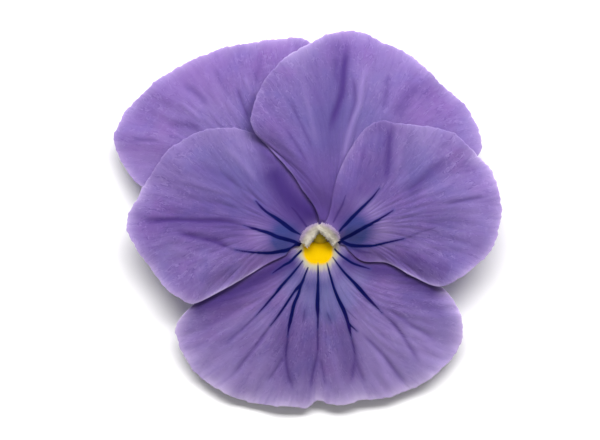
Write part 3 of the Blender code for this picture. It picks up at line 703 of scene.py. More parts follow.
def petal_grid(petal, draw, phases):
    """The petal's middle surface as a grid of points, columns first, with what its colours need."""
    u = np.linspace(0, 1, COLUMNS + 1)
    body = np.linspace(0, RIM_STARTS, ROWS - len(RIM_SHARES) + 1)
    v = np.concatenate([body, 1 - (1 - RIM_STARTS) * np.array(RIM_SHARES)])
    margin = curve_through(petal["outline"], COLUMNS + 1)
    lips = curve_through(petal["lip"], COLUMNS + 1)
    perimeter = np.linalg.norm(np.diff(margin, axis=0), axis=1).sum()
    walk = u * perimeter
    main = unit(margin[COLUMNS // 2] - lips[COLUMNS // 2])
    way = unit(margin - lips)
    out = unit(main + way)
    free = rise(np.hypot(*margin.T), RUFFLE_GROWS)
    scallop = SCALLOP * np.sin(math.tau * walk / SCALLOP_LENGTH)
    teeth = TOOTH * mean_wave(walk, TOOTH_LENGTHS, [draw.uniform(0, math.tau) for _ in TOOTH_LENGTHS])
    edge = margin + way * (free * (SCALLOP_KEPT * scallop + teeth))[:, None]
    lengths = np.linalg.norm(edge - lips, axis=1)[:, None]
    out_way = v[None, :] * lengths
    x, y = np.moveaxis(fanned(lips, edge, main, v**ROW_POWER), 2, 0)
    z = blade_height(petal, draw, walk, out_way, x, y)
    z += RUFFLE * (free * mean_wave(walk, RUFFLE_LENGTHS, phases))[:, None] * v[None, :] ** 3
    blade = np.stack([x, y, z], axis=2)
    grid = np.concatenate([claw_points(petal, u, out, blade[:, 0]), blade], axis=1)
    low, high = CLAW_ROWS - 5, CLAW_ROWS + 6
    for _ in range(LIP_SMOOTHING):
        beside = grid[:, low - 1:high - 1] + grid[:, low + 1:high + 1]
        grid[:, low:high] = (grid[:, low:high] + 0.5 * beside) / 2

    rows_v = np.concatenate([np.zeros(CLAW_ROWS), v])
    reach = rows_v[None, :] * lengths
    span = perimeter * np.maximum(0.08, rows_v)[None, :]
    veins = vein_field(draw, u, rows_v, span)
    veins *= VEINS_NEAR + (1 - VEINS_NEAR) * rise(reach, VEINS_GROW)
    flow = np.zeros(grid.shape)
    flow[..., 0] = walk[:, None]
    flow[..., 1] = reach - (CLAW_ROWS - np.minimum(np.arange(grid.shape[1]), CLAW_ROWS)) * ROW_MM
    flow[..., 2] = draw.uniform(0, 50)
    # Pale margin: partly its own paler colour, partly painted light through the thin edge
    pale = rim_paleness_and_light(petal, margin, (1 - rows_v)[None, :] * lengths)
    return {"points": grid, "v": rows_v, "veins": veins, "flow": flow, "pale_and_lit_rim": pale}


def eye_field(x, y):
    """The yellow eye's inside, above 0 and up to 1, with square corners and a taper."""
    half = EYE_HALF - EYE_TAPER * rise(-y, EYE_TAPERS)
    down = np.maximum(0, EYE_TOP - y) / EYE_TALL
    return 1 - (np.abs((x - EYE_X) / half) ** EYE_CORNERS + down**EYE_CORNERS) ** (1 / EYE_CORNERS)


def petal_colours(name, petal, made):
    """Fields on the petal's grid that its material turns into colour."""
    x, y = made["points"][..., 0], made["points"][..., 1]
    guide = np.full(x.shape, -1.0)
    far = np.zeros(x.shape)
    for line, widths in petal.get("guides", ()):
        gap, share = from_line(x, y, line)
        field = GUIDE_WIDTH * shares_of(widths, share) - gap
        far = np.where(field > guide, share, far)
        guide = np.maximum(guide, field)
    fields = {"guide": guide, "far": far, "vein": made["veins"], "pale_and_lit_rim": made["pale_and_lit_rim"]}
    tufts = [(route, TUFT_GLOW, 1) for under, route in BEARDS.values() if under == name]
    fields["tuft"] = lined(x, y, tufts)
    fields["thin"] = lined(x, y, petal.get("thin", ()), THIN_WIDTH)
    fields["shade"] = lined(x, y, petal["shade"])
    # pink, blue and pale: partly the petal's own uneven colour, partly painted light and shade of broad
    # undulations
    for key in ("halo", "mist", "pink", "blue", "pale"):
        fields[key] = np.clip(patched(x, y, petal.get(key, ())), 0, 1)
    # Furrows and ridges: relief, and painted shade in the furrows and painted highlight on the ridges
    fields["furrow_and_shade"], fields["ridge_and_highlight"] = folded(petal["folds"], x, y)
    fields["throat"] = np.hypot(x, y - 0.2)
    if petal["claw"] is None:
        fields["eye"] = eye_field(x, y)
        fields["deep"] = np.zeros(x.shape)
    else:
        fields["eye"] = np.full(x.shape, -5.0)
        fields["deep"] = bell(np.hypot(x, y) / petal["deep"]) * rise(y, DEEP_GROWS)
    return fields


# Meshes

def mesh_piece(name, points, faces, finish, fields=None):
    """An object from points in millimetres round the throat, with its colour fields as attributes."""
    mesh = bpy.data.meshes.new(name)
    placed = (np.asarray(points, float) + np.array([THROAT[0], THROAT[1], 0.0])) * MM
    mesh.from_pydata(placed.tolist(), [], [tuple(face) for face in faces])
    mesh.shade_smooth()
    mesh.materials.append(finish)
    for key, values in (fields or {}).items():
        kind, slot = ("FLOAT", "value") if values.ndim == 1 else ("FLOAT_VECTOR", "vector")
        made = mesh.attributes.new(key, kind, "POINT")
        made.data.foreach_set(slot, values.astype(np.float32).ravel())
    obj = bpy.data.objects.new(name, mesh)
    bpy.context.scene.collection.objects.link(obj)
    return obj


def thin_solid(name, middle, thick, relief, finish, fields, flow, upright=None):
    """A closed blade round a grid of middle points: a top skin, an underside and a strip round the edge.

    From the row upright on, the top skin is kept above the underside."""
    count, rows = middle.shape[:2]
    normal = unit(np.cross(np.gradient(middle, axis=1), np.gradient(middle, axis=0)))
    if upright is not None:
        facing = np.median(np.sign(normal[:, upright:, 2]))
        normal[:, upright:][normal[:, upright:, 2] * facing < 0] *= -1
    top = middle + normal * (thick / 2 - relief)[..., None]
    bottom = middle - normal * (thick / 2 + relief * 1.6)[..., None]
    points = np.concatenate([top.reshape(-1, 3), bottom.reshape(-1, 3)])
    index = np.arange(count * rows).reshape(count, rows)
    a, b = index[:-1, :-1].ravel(), index[1:, :-1].ravel()
    c, d = index[1:, 1:].ravel(), index[:-1, 1:].ravel()
    under = count * rows
    faces = list(zip(a, d, c, b)) + list(zip(a + under, b + under, c + under, d + under))
    ring = np.concatenate([index[:-1, 0], index[-1, :-1], index[:0:-1, -1], index[0, :0:-1]])
    after = np.roll(ring, -1)
    faces += list(zip(ring, after, after + under, ring + under))
    both = {key: np.concatenate([values.ravel(), values.ravel()]) for key, values in fields.items()}
    below = np.ones((count, rows))
    below[:BACK_STARTS] = below[-BACK_STARTS:] = below[:, -RIM_ROWS:] = 0
    both["under"] = np.concatenate([np.zeros(under), below.ravel()])
    both["flow"] = np.concatenate([flow.reshape(-1, 3), flow.reshape(-1, 3) + np.array([0, 0, 7.0])])
    return mesh_piece(name, points, faces, finish, both)


def ring_grid(path, radii, sides, squash=(1.0, 1.0), lean=(0.0, 0.0, 1.0)):
    """Rings of points round a path, as a grid: one row for each of the path's points."""
    path = np.array(path, float)
    ahead = unit(np.gradient(path, axis=0))
    side = np.cross(ahead, np.array(lean))
    short = np.linalg.norm(side, axis=1) < 0.05
    side[short] = np.cross(ahead[short], np.array([1.0, 0.0, 0.0]))
    side = unit(side)
    back = np.cross(side, ahead)
    turn = ring_turns(sides)
    a = side[:, None] * (np.cos(turn) * squash[0])[None, :, None]
    b = back[:, None] * (np.sin(turn) * squash[1])[None, :, None]
    radii = np.asarray(radii, float)
    if radii.ndim == 1:
        radii = np.repeat(radii[:, None], sides, axis=1)
    return path[:, None] + (a + b) * radii[..., None]


def ring_faces(rings, sides, first=0):
    """Quads between neighbouring rings."""
    faces = []
    for start in range(first, first + (rings - 1) * sides, sides):
        for n in range(sides):
            a, b = start + n, start + (n + 1) % sides
            faces.append((a, b, b + sides, a + sides))
    return faces


def capped(points_grid):
    """Points and faces of a tube closed at both ends."""
    rings, sides = points_grid.shape[:2]
    faces = ring_faces(rings, sides)
    faces.append(tuple(range(sides))[::-1])
    faces.append(tuple(range((rings - 1) * sides, rings * sides)))
    return points_grid.reshape(-1, 3), faces


def turned(route, count, sides, ribs=1.0, *form):
    """A closed tube through places given with their radii, which ribs scales round a ring.

    form is ring_grid's squash and lean."""
    spine = curve_through(route, count)
    return capped(ring_grid(spine[:, :3], spine[:, 3:] * (np.ones(sides) * ribs)[None, :], sides, *form))


def joined(parts):
    """Several (points, faces) as one pair."""
    points = []
    faces = []
    count = 0
    for here, their in parts:
        points.append(np.asarray(here, float))
        faces += [tuple(index + count for index in face) for face in their]
        count += len(here)
    return np.concatenate(points), faces


def place(obj, slot, *nodes):
    """Puts a piece on the bloom's body in place of its solid nodes."""
    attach(obj, "root")
    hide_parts(*nodes)


def closed_piece(name, shape, finish, slot, node, fields=None):
    """A closed piece from its (points, faces), every face turned to face out, in its place."""
    obj = mesh_piece(name, *shape, finish, fields)
    bm = bmesh.new()
    bm.from_mesh(obj.data)
    bmesh.ops.recalc_face_normals(bm, faces=bm.faces)
    bm.to_mesh(obj.data)
    bm.free()
    place(obj, slot, node)


# Materials

class Nodes:
    """Short ways to add shader nodes to one material."""

    def __init__(self, name):
        self.material = bpy.data.materials.new(name)
        self.material.use_nodes = True
        self.tree = self.material.node_tree

    def put(self, socket, value):
        """Links an output to a socket, or sets the socket's own value."""
        if isinstance(value, bpy.types.NodeSocket):
            self.tree.links.new(value, socket)
        else:
            socket.default_value = value

    def skin(self, **values):
        """Sets the surface's own inputs, named with _ for a space."""
        for key, value in values.items():
            self.put(self.tree.nodes["Principled BSDF"].inputs[key.replace("_", " ")], value)

    def add(self, kind, out, inputs, **settings):
        """A new node with its settings and its inputs, by place or name; gives one of its outputs."""
        node = self.tree.nodes.new("ShaderNode" + kind)
        for key, value in settings.items():
            setattr(node, key, value)
        for key, value in inputs.items():
            self.put(node.inputs[key], value)
        return node.outputs[out]

    def field(self, name, out="Fac"):
        return self.add("Attribute", out, {}, attribute_name=name)

    def math(self, operation, *values):
        return self.add("Math", 0, dict(enumerate(values)), operation=operation)

    def times(self, a, b):
        return self.math("MULTIPLY", a, b)

    def ramp(self, value, low, high, to_low=0.0, to_high=1.0):
        """A smooth step of a value, from to_low below low to to_high above high."""
        inputs = dict(enumerate((value, low, high, to_low, to_high)))
        return self.add("MapRange", 0, inputs, interpolation_type="SMOOTHSTEP")

    def stretch(self, vector, scale):
        return self.add("VectorMath", 0, {0: vector, 1: scale}, operation="MULTIPLY")

    def shift(self, vector, across):
        """A place moved sideways by a number."""
        return self.add("VectorMath", 0, {0: vector, 1: self.add("CombineXYZ", 0, {0: across})})

    def noise(self, vector, scale, detail=3.0, roughness=0.55):
        inputs = {"Vector": vector, "Scale": scale, "Detail": detail, "Roughness": roughness}
        return self.add("TexNoise", "Fac", inputs)

    def mix(self, share, a, b):
        return self.add("Mix", "Result", {"Factor": share, "A": a, "B": b}, data_type="RGBA")

    def object_place(self):
        return self.add("TexCoord", "Object", {})

    def bump(self, height, distance, strength):
        inputs = {"Height": height, "Distance": distance, "Strength": strength}
        self.skin(Normal=self.add("Bump", 0, inputs))


class PetalNodes(Nodes):
    """The petals' nodes, with the places, fields and noises that several of their colours share."""

    def __init__(self, name):
        super().__init__(name)
        straight = self.field("flow", "Vector")
        sway = self.noise(self.stretch(straight, (0.5, 0.35, 1.0)), 1.0, 2.0)
        self.flow = self.shift(straight, self.math("MULTIPLY_ADD", sway, 1.6, -0.8))
        self.place_on = self.object_place()
        self.throat = self.field("throat")
        self.broad = self.grown(0.4, 0.13, detail=2.0)
        self.fine = self.grown(4.5, 0.9, detail=4.0, roughness=0.65)
        self.line = self.grown(1.25, 0.42, roughness=0.5)
        self.blot = self.noise(self.place_on, 420.0, 4.0, 0.6)
        wide = self.grown(0.5, 0.2, detail=4.0, roughness=0.6)
        narrow = self.grown(1.5, 0.25, detail=4.0, roughness=0.6)
        out = self.ramp(self.throat, 3.0, 16.0)
        inner = self.times(wide, self.math("SUBTRACT", 1.0, out))
        self.streak = self.math("ADD", self.times(narrow, out), inner)

    def grown(self, across, along, scale=1.0, detail=3.0, roughness=0.55):
        """Noise stretched along the petal: how many cells a millimetre across and along it."""
        return self.noise(self.stretch(self.flow, (across, along, 1.0)), scale, detail, roughness)

    def near(self, value, level, width):
        """1 where a noise is close to a level, so that it draws thin lines."""
        return self.ramp(self.math("ABSOLUTE", self.math("SUBTRACT", value, level)), width, 0.0)

    def ragged(self, field, noise, swing):
        """A field whose edges a noise makes uneven."""
        return self.math("ADD", field, self.math("MULTIPLY_ADD", noise, swing, -swing / 2))


def petal_ground(n):
    """Violet with streaks, blotches, short lines and grain."""
    patch = n.noise(n.place_on, 260.0, 2.0)
    cross = n.grown(0.9, 2.6, detail=2.0)
    grain = n.noise(n.place_on, 3200.0, 2.0)
    short = n.ramp(n.grown(0.9, 0.7, 1.3, 1.0), 0.42, 0.6)
    short = n.times(short, n.ramp(n.throat, 5.0, 11.0, 0.25, 1.0))
    body = n.mix(n.ramp(n.streak, 0.36, 0.64), rgb(106, 85, 144), rgb(119, 98, 157))
    for share, colour in (
        (n.ramp(n.broad, 0.35, 0.68, 0.0, 0.45), (108, 87, 147)),
        (n.ramp(n.blot, 0.42, 0.62, 0.0, 0.5), (124, 105, 163)),
        (n.ramp(patch, 0.52, 0.68, 0.0, 0.5), (123, 92, 155)),
        (n.ramp(patch, 0.48, 0.32, 0.0, 0.5), (104, 93, 156)),
        (n.ramp(cross, 0.56, 0.7, 0.0, 0.35), (138, 119, 176)),
        (n.times(n.times(short, n.near(n.line, 0.53, 0.03)), 0.5), (148, 130, 184)),
        (n.times(n.times(short, n.near(n.line, 0.48, 0.035)), 0.5), (80, 58, 126)),
        (n.ramp(grain, 0.5, 0.8, 0.0, 0.18), (90, 71, 134)),
    ):
        body = n.mix(share, body, rgb(*colour))
    return body


def petal_marks(n, body):
    """The violet with what the petal's fields hold: patches, veins, folds, shades and halos; margins, folds
    and shades carry painted light and shade.
    """
    patchy = n.ramp(n.math("ADD", n.fine, n.times(n.blot, 0.6)), 0.6, 0.95, 0.6, 1.0)
    for key, amount, colour in (
        ("deep", 0.85, (78, 54, 124)),
        # pink, blue and pale: partly uneven colour, partly painted light and shade of broad undulations
        ("blue", 0.6, (95, 94, 150)),
        ("pink", 0.6, (135, 104, 165)),
        ("pale", 0.55, (144, 128, 178)),
        # The pale margin, partly painted light through the thin edge
        ("pale_and_lit_rim", n.ramp(n.broad, 0.32, 0.6, 0.5, 0.8), (198, 184, 220)),
        ("vein", n.ramp(n.fine, 0.25, 0.7, 0.05, 0.25), (78, 53, 128)),
        # Painted shade in furrows and painted highlight on ridges
        ("furrow_and_shade", 0.9, (70, 44, 118)),
        ("ridge_and_highlight", 0.5, (147, 128, 182)),
        ("shade", 0.92, (56, 32, 106)),
        ("mist", patchy, (128, 129, 178)),
        ("halo", patchy, (50, 61, 122)),
        ("tuft", 0.4, (150, 128, 178)),
        ("thin", 0.85, (44, 22, 94)),
    ):
        body = n.mix(n.times(n.field(key), amount), body, rgb(*colour))
    return body


def petal_throat(n, body):
    """The violet with dark guides and the yellow eye with its cream fringe, and where there is neither."""
    ragged = n.ragged(n.field("guide"), n.fine, 0.14)
    eye = n.field("eye")
    body = n.mix(n.ramp(ragged, -0.45, -0.05, 0.0, 0.35), body, rgb(50, 58, 128))
    fringe = n.ragged(eye, n.line, 0.8)
    body = n.mix(n.ramp(fringe, -1.2, -0.2, 0.0, 0.4), body, rgb(166, 158, 192))
    body = n.mix(n.ramp(fringe, -0.52, -0.05, 0.0, 0.85), body, rgb(196, 190, 156))
    guide = n.ramp(ragged, -0.13, 0.05)
    body = n.mix(guide, body, n.mix(n.ramp(n.field("far"), 0.55, 1.0), rgb(8, 14, 78), rgb(32, 14, 84)))
    # The yellow darkens towards the throat: painted shade of the throat's hollow
    yellow = n.mix(n.ramp(n.throat, 1.1, 2.2), rgb(212, 170, 0), rgb(230, 189, 0))
    inside = n.ramp(n.ragged(eye, n.fine, 0.16), -0.08, 0.16)
    gold = n.times(inside, n.math("MULTIPLY_ADD", guide, -0.5, 1.0))
    return n.mix(gold, body, yellow), n.math("SUBTRACT", 1.0, n.math("MAXIMUM", gold, guide))


def petal_back(n):
    """The paler underside."""
    back = n.mix(n.ramp(n.streak, 0.3, 0.7), rgb(150, 134, 200), rgb(168, 152, 214))
    back = n.mix(n.times(n.field("vein"), 0.35), back, rgb(112, 88, 172))
    return n.mix(n.ramp(n.throat, 9.0, 3.5, 0.0, 0.5), back, rgb(190, 190, 176))


def petal_material():
    """Velvety violet with streaks, veins, dark guides, a blue halo, and a yellow eye with a cream edge."""
    n = PetalNodes("petal_velvet")
    body, plain = petal_throat(n, petal_marks(n, petal_ground(n)))
    n.skin(
        Base_Color=n.mix(n.ramp(n.field("under"), 0.6, 1.0), body, petal_back(n)),
        Roughness=n.ramp(n.fine, 0.2, 0.8, 0.62, 0.8),
        Specular_IOR_Level=n.math("MULTIPLY_ADD", plain, 0.08, 0.03),
        Subsurface_Weight=0.6,
        Subsurface_Scale=0.0006,
        Subsurface_Radius=(1.0, 0.8, 1.2),
        Sheen_Weight=n.times(plain, 0.15),
        Sheen_Roughness=0.5,
        Sheen_Tint=(0.72, 0.68, 1.0, 1.0),
    )
    velvet = n.add("TexVoronoi", "Distance", {"Vector": n.place_on, "Scale": 9000.0})
    n.bump(n.math("ADD", n.times(n.fine, 0.8), n.times(velvet, 0.25)), 0.00006, 0.5)
    return n.material


def plain_material(name, dark, light, scale, roughness, streaks=(1.0, 1.0, 1.0)):
    """A living surface with mottled colour and fine grain."""
    n = Nodes(name)
    spot = n.stretch(n.object_place(), streaks)
    coarse = n.noise(spot, scale, 4.0)
    grain = n.noise(spot, scale * 6)
    n.skin(Base_Color=n.mix(n.ramp(coarse, 0.3, 0.7), rgb(*dark), rgb(*light)),
           Roughness=n.ramp(grain, 0.25, 0.75, roughness - 0.1, roughness + 0.1))
    n.bump(n.math("ADD", coarse, n.times(grain, 0.5)), 0.00005, 0.7)
    return n.material


def pistil_material():
    """Olive green that turns to gold where the head meets the yellow of the lower petal."""
    n = Nodes("pistil_olive")
    mottle = n.noise(n.object_place(), 1800.0, 4.0)
    body = n.mix(n.ramp(mottle, 0.3, 0.7), rgb(158, 138, 22), rgb(188, 164, 26))
    body = n.mix(n.field("low"), body, rgb(224, 184, 6))
    n.skin(Base_Color=body, Roughness=n.ramp(mottle, 0.25, 0.75, 0.55, 0.75), Specular_IOR_Level=0.25)
    n.bump(mottle, 0.00004, 0.6)
    return n.material


def beard_material():
    """Cream hairs that turn lilac towards the outer edge of the tuft."""
    n = Nodes("beard_cream")
    mottle = n.noise(n.object_place(), 1500.0)
    body = n.mix(n.ramp(mottle, 0.3, 0.7), rgb(202, 196, 178), rgb(222, 216, 204))
    body = n.mix(n.ramp(n.field("outer"), 0.0, 0.8, 0.0, 0.8), body, rgb(150, 124, 176))
    n.skin(Base_Color=body, Roughness=n.ramp(mottle, 0.2, 0.8, 0.6, 0.8),
           Subsurface_Weight=0.2, Subsurface_Radius=(0.0006, 0.0005, 0.0004))
    return n.material


def sepal_material():
    """Satin green with a paler midrib and veins, and a thin pale edge."""
    n = Nodes("sepal_green")
    mottle = n.noise(n.stretch(n.field("flow", "Vector"), (2.2, 0.8, 1.0)), 1.0, 4.0)
    body = n.mix(n.ramp(mottle, 0.3, 0.7), rgb(70, 112, 42), rgb(104, 146, 64))
    body = n.mix(n.times(n.field("vein"), 0.6), body, rgb(150, 180, 104))
    body = n.mix(n.times(n.field("edge"), 0.5), body, rgb(196, 206, 170))
    body = n.mix(n.ramp(n.field("reach"), 0.75, 1.0, 0.0, 0.35), body, rgb(110, 88, 120))
    n.skin(Base_Color=body, Roughness=n.ramp(mottle, 0.2, 0.8, 0.42, 0.6))
    n.bump(n.noise(n.object_place(), 5000.0), 0.00005, 0.6)
    return n.material


# Pieces

def make_petals(finish):
    """The five fine petals, with the solid ones' waves: these are drawn first and in the same order."""
    waves_from = random.Random(7)
    for number, (name, petal) in enumerate(PETALS.items()):
        phases = [waves_from.uniform(0, math.tau) for _ in RUFFLE_LENGTHS]
        made = petal_grid(petal, random.Random(100 + number), phases)
        v = made["v"]
        rounding = 1 - np.clip((v - RIM_STARTS) / (1 - RIM_STARTS), 0, 1) ** 2
        thick = (BLADE_BASE + (BLADE_RIM - BLADE_BASE) * v) * np.sqrt(np.clip(rounding, 0.04, 1))
        thick = np.repeat(thick[None, :], COLUMNS + 1, axis=0)
        for column, share in enumerate(SIDE_THIN):
            thick[[column, COLUMNS - column]] *= share
        relief = VEIN_RELIEF * made["veins"] * (smooth(v * 6) * (1 - rise(v, RELIEF_ENDS)))[None, :]
        fields = petal_colours(name, petal, made)
        blade = thin_solid(name + "_blade", made["points"], thick, relief, finish, fields, made["flow"],
                           CLAW_ROWS + 2)
        place(blade, "petal", name)


def make_spur(finish):
    """The lower petal's hollow spur, pale and veined, open into the throat and flat where it rests."""
    sides = 48
    axis = curve_through(SPUR_ROUTE, SPUR_ROWS)
    radii = shares_of(SPUR_RADII, np.linspace(0, 1, len(axis)))
    steps = np.linspace(0, 1, 8)[1:-1]
    ahead = unit(axis[-1] - axis[-2])
    outer_axis = np.vstack([axis] + [axis[-1] + ahead * radii[-1] * SPUR_TIP * t for t in steps])
    outer_radii = np.concatenate([radii, radii[-1] * np.sqrt(1 - steps**2)])
    swell = SPUR_RIB * np.sin(np.linspace(0, math.pi, len(outer_radii)))[:, None]
    ribs = 1 + np.cos(SPUR_RIBS * ring_turns(sides))[None, :] * swell
    outer = ring_grid(outer_axis, outer_radii[:, None] * ribs, sides)
    outer[..., 2] = np.maximum(outer[..., 2], 0.0)
    wall = np.interp(np.arange(SPUR_HOLLOW_ROWS), [0, 6], [SPUR_MOUTH_WALL, SPUR_WALL])
    inner = ring_grid(axis[:SPUR_HOLLOW_ROWS], radii[:SPUR_HOLLOW_ROWS] - wall, sides)
    points = np.concatenate([outer.reshape(-1, 3), inner.reshape(-1, 3)])
    first = len(outer) * sides
    faces = ring_faces(len(outer), sides)
    faces += [face[::-1] for face in ring_faces(len(inner), sides, first)]
    faces.append(tuple(range(first - sides, first)))
    faces.append(tuple(range(len(points) - sides, len(points)))[::-1])
    faces += [(k, first + k, first + (k + 1) % sides, (k + 1) % sides) for k in range(sides)]
    closed_piece("petal_lower_spur", (points, faces), finish, "petal", "petal_lower")


def make_beard(name, seed, finish):
    """A dense tuft of short, blunt hairs along the lip of a side petal, thinning out at its edges."""
    draw = random.Random(seed)
    petal, route = BEARDS[name]
    x, y = curve_through(route, BEARD_STEPS).T
    heights = face_height(x, y) + layer_height(PETALS[petal]["levels"], x, y)
    path = np.column_stack([x, y, heights + BEARD_LIFT])
    along = unit(path[-1] - path[0])
    across = unit(np.cross(along, np.array([0, 0, 1.0])))
    swell = BEARD_CORE * (0.42 + 0.64 * np.sin(math.pi * (np.linspace(0, 1, BEARD_STEPS) * 0.76 + 0.22)))
    parts = [capped(ring_grid(path, swell, 20, (1.0, 0.5)))]
    for _ in range(BEARD_HAIRS):
        at = draw.uniform(0.02, 0.98) * (BEARD_STEPS - 1)
        low = int(at)
        core = path[low] + (path[low + 1] - path[low]) * (at - low)
        lean = math.radians(draw.uniform(-HAIR_LEAN, HAIR_LEAN))
        aside, up = math.sin(lean), math.cos(lean)
        out = unit(np.array([0, 0, up]) + across * aside + along * draw.uniform(-0.35, 0.35))
        root = core + out * swell[low] * (0.85 * abs(aside) + 0.35 * up)
        length = draw.uniform(*HAIR_LENGTH)
        bend = np.array([draw.uniform(-0.1, 0.1), draw.uniform(-0.1, 0.1), -0.12])
        spine = [root + out * length * t + bend * t * t for t in (0.0, 0.4, 0.8, 1.0)]
        parts.append(capped(ring_grid(spine, HAIR_RADII, 5)))
    points, faces = joined(parts)
    middle = np.interp(points @ along, path @ along, np.arange(BEARD_STEPS))
    aside = (points - path[np.round(middle).astype(int)]) @ across
    outer = {"outer": aside if name == "beard_right" else -aside}
    closed_piece(name + "_hairs", (points, faces), finish, "beard", name, outer)


def make_pistil(finish):
    """Ovary, bent style and round head."""
    x, y = HEART
    route = [
        (x, y, CUP_TOP + CLEAR, 0.35), (x, y, 5.3, 0.56), (x, y, 5.9, 0.54), (x, y - 0.1, 6.4, 0.36),
        (x, y - 0.35, 6.8, 0.24), (x, y - 0.8, 7.0, 0.3), (x + 0.03, 0.35, 7.25, 0.85),
        (x + 0.04, -0.03, 7.5, 1.15), (x + 0.04, -0.3, 7.85, 0.75),
    ]
    shape = turned(route, 48, 28)
    low = {"low": rise(-shape[0][:, 1], PISTIL_GOLD)}
    closed_piece("pistil_head_and_ovary", shape, finish, "pistil", "pistil", low)


def make_stamens(finish):
    """Five anthers in a collar, each of two pollen sacs; the lower two carry nectar horns."""
    x, y = HEART
    sides = 24
    seam = 1 - STAMEN_SEAM * np.abs(np.sin(ring_turns(sides))) ** 6
    rows = ((0, 0, 0.4), (0.6, 0, 0.56), (1.3, 0.05, 0.5), (1.85, 0.2, 0.22))
    for n in range(5):
        turn = math.radians(90 + 72 * n)
        out = np.array([math.cos(turn), math.sin(turn), 0])
        foot = np.array([x, y, CUP_TOP + CLEAR]) + out * STAMEN_RING
        route = [(*(foot + np.array([0, 0, up]) - out * back), radius) for up, back, radius in rows]
        parts = [turned(route, 20, sides, seam, (1.0, 0.48), out)]
        if n in HORN_ASIDE:
            side = HORN_ASIDE[n]
            horn = [
                foot + np.array([0, 0, 1.05]), (x + side * 1.1, -0.2, 6.05), (x + side, -1.1, 5.9),
                (x + side, -1.95, 5.3), (x + side, -2.6, 4.3), (x + side, -2.95, 3.4),
            ]
            radii = HORN_RADIUS * np.sqrt(np.clip(1.02 - np.linspace(0, 1, 30) ** 8, 0.1, 1))
            parts.append(capped(ring_grid(curve_through(horn, 30), radii, 14)))
        closed_piece(f"stamen_{n + 1}_sacs", joined(parts), finish, "anther", f"stamen_{n + 1}")


def make_receptacle(finish):
    """The cup that carries the petals, with five soft lobes below the sepals."""
    x, y = HEART
    sides = 50
    rows = [(0.9, 3.2), (1.25, 3.28), (1.5, 3.45), (1.72, 3.8), (1.85, 4.1), (1.97, 4.4)]
    rows.append((CUP_RADIUS, CUP_TOP))
    lobes = 1 - 0.02 * (1 + np.cos(5 * ring_turns(sides)))
    shape = turned([(x, y, z, radius) for radius, z in rows], 24, sides, lobes)
    closed_piece("receptacle_cup", shape, finish, "calyx", "receptacle")


def make_sepals(finish):
    """Five lance-shaped sepals with a midrib, side veins and a thin pale edge."""
    tip = np.linspace(0, 1, SEPAL_ROWS)
    shares = shares_of(SEPAL_SHARES, tip)
    shares *= np.sqrt(np.clip((1.004 - tip) / 0.05, 0.0, 1))
    shares *= np.sqrt(np.clip((tip + 0.012) / 0.06, 0.0, 1))
    lane = np.linspace(-0.5, 0.5, SEPAL_LANES)[:, None]
    edge = np.clip(1 - (0.5 - np.abs(lane)) / SEPAL_EDGE, 0, 1)
    for n, (angle, wide, lobe) in enumerate(SEPALS):
        out = np.array([math.cos(math.radians(angle)), math.sin(math.radians(angle))])
        splay = 2.45 + 0.4 * (4.0 - lobe)
        route = [
            (splay, lobe), ((splay + 2.45) / 2 - 0.05, (lobe + 3.9) / 2), (2.42, 3.9), (3.3, 4.35),
            (6.0, 4.85), (9.0, 4.95), (11.5, 4.6),
        ]
        away, height = curve_through(route, SEPAL_ROWS).T
        spot = lane * SEPAL_WIDTH * wide * shares[None, :]
        x = HEART[0] + out[0] * away + out[1] * spot
        y = HEART[1] + out[1] * away - out[0] * spot
        z = height + (away > 3.0) * SEPAL_CUPPING * spot**2
        rib = bell(spot / SEPAL_RIB)
        slant = np.sin((away - np.abs(spot) * 1.6) * math.tau / SEPAL_VEINS_APART)
        veins = np.clip(rib + 0.35 * np.clip(slant - 0.7, 0, 1) / 0.3 * (1 - rib), 0, 1)
        whole = np.ones(spot.shape)
        fields = {"vein": veins, "edge": edge * whole, "reach": tip * whole}
        flow = np.stack([spot, away * whole, n * 3.0 * whole], axis=2)
        thick = SEPAL_THICK * (1 - 0.55 * edge) * whole
        middle = np.stack([x, y, z], axis=2)
        leaf = thin_solid(f"sepal_{n + 1}_leaf", middle, thick, SEPAL_RELIEF * veins, finish, fields, flow)
        place(leaf, "calyx", f"sepal_{n + 1}")


def make_pedicel(finish):
    """The ridged stalk, down to its cut end, where the pith is sunk in."""
    x, y = HEART
    route = [
        (x, y, 2.62), (x, y + 0.1, 2.15), (x + 0.05, y + 1.2, 1.35), (x + 0.1, y + 3.2, 0.95),
        (x + 0.25, y + 7.0, 0.88), (x + 0.6, y + 12.0, 0.87),
    ]
    path = curve_through(route, 90)
    sides = 40
    radii = np.full(len(path), STALK_RADIUS * 0.97)
    radii[0] *= 0.9
    ribs = 1 - STALK_RIDGE * (0.5 - 0.5 * np.cos(5 * ring_turns(sides)))
    grid = ring_grid(path, radii[:, None] * ribs[None, :], sides)
    end = path[-1] + (grid[-1] - path[-1]) * STALK_RIM
    pith = path[-1] + (grid[-1] - path[-1]) * PITH - unit(path[-1] - path[-2]) * PITH_SUNK
    shape = capped(np.concatenate([grid, end[None], pith[None]]))
    closed_piece("pedicel_stalk", shape, finish, "stalk", "pedicel")


# Studio

def put_up(name, data, location):
    """A new object of the scene at a place in metres."""
    obj = bpy.data.objects.new(name, data)
    obj.location = location
    bpy.context.scene.collection.objects.link(obj)
    return obj


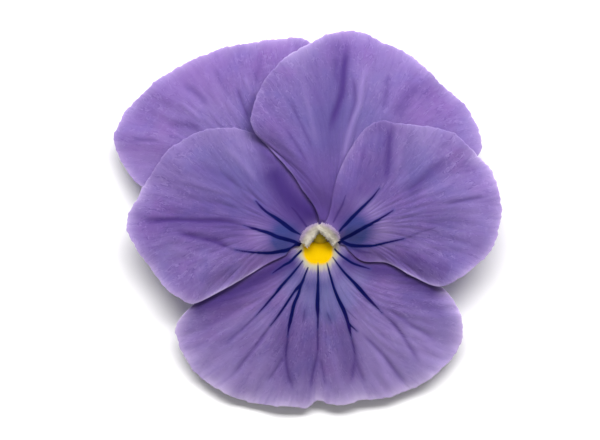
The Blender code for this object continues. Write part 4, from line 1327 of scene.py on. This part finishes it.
def make_studio():
    """White table, soft light from the top of the picture and a camera straight above the face."""
    mesh = bpy.data.meshes.new("table_top")
    corners = [(x * TABLE_HALF, y * TABLE_HALF, 0) for x, y in ((-1, -1), (1, -1), (1, 1), (-1, 1))]
    mesh.from_pydata(corners, [], [(0, 1, 2, 3)])
    n = Nodes("table_white")
    n.skin(Base_Color=(0.95, 0.95, 0.95, 1.0), Roughness=0.9, Specular_IOR_Level=0.1)
    mesh.materials.append(n.material)
    table = put_up("table_top", mesh, (0, 0, -TABLE_DROP))

    world = bpy.data.worlds.new("studio")
    world.use_nodes = True
    sky = world.node_tree.nodes["Background"].inputs
    sky["Color"].default_value = WORLD_COLOUR
    sky["Strength"].default_value = WORLD_LIGHT
    bpy.context.scene.world = world
    lamp = bpy.data.lights.new("lamp", "AREA")
    lamp.shape = "RECTANGLE"
    lamp.size, lamp.size_y = LAMP_SIZE
    lamp.energy = LAMP_WATTS
    lamp.color = LAMP_COLOUR
    holder = put_up("lamp", lamp, LAMP_PLACE)
    holder.rotation_euler = (-Vector(LAMP_PLACE)).to_track_quat("-Z", "Y").to_euler()

    camera = bpy.data.cameras.new("camera")
    camera.sensor_width = SENSOR_MM
    camera.lens = SENSOR_MM * CAMERA_ABOVE / (IMAGE_WIDTH * PIXEL_MM)
    camera.clip_end = 10
    middle_x = THROAT[0] + (IMAGE_WIDTH / 2 - THROAT_PIXEL[0]) * PIXEL_MM
    middle_y = THROAT[1] - (IMAGE_HEIGHT / 2 - THROAT_PIXEL[1]) * PIXEL_MM
    place_at = (middle_x * MM, middle_y * MM, (IN_SCALE_Z + CAMERA_ABOVE) * MM)
    bpy.context.scene.camera = put_up("camera", camera, place_at)
    bpy.context.scene.view_settings.view_transform = "Standard"


def main():
    make_petals(petal_material())
    make_spur(plain_material("spur_skin", (150, 138, 186), (190, 186, 196), 400, 0.55, (1.0, 0.5, 0.5)))
    white = beard_material()
    make_beard("beard_left", 31, white)
    make_beard("beard_right", 32, white)
    make_pistil(pistil_material())
    make_stamens(plain_material("anther_orange", (190, 120, 30), (222, 170, 70), 2500, 0.7))
    make_receptacle(plain_material("receptacle_green", (88, 122, 52), (120, 152, 76), 900, 0.5))
    make_sepals(sepal_material())
    make_pedicel(plain_material("stalk_green", (104, 136, 58), (146, 172, 92), 700, 0.45, (1.0, 0.25, 1.0)))
    make_studio()
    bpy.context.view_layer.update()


main()
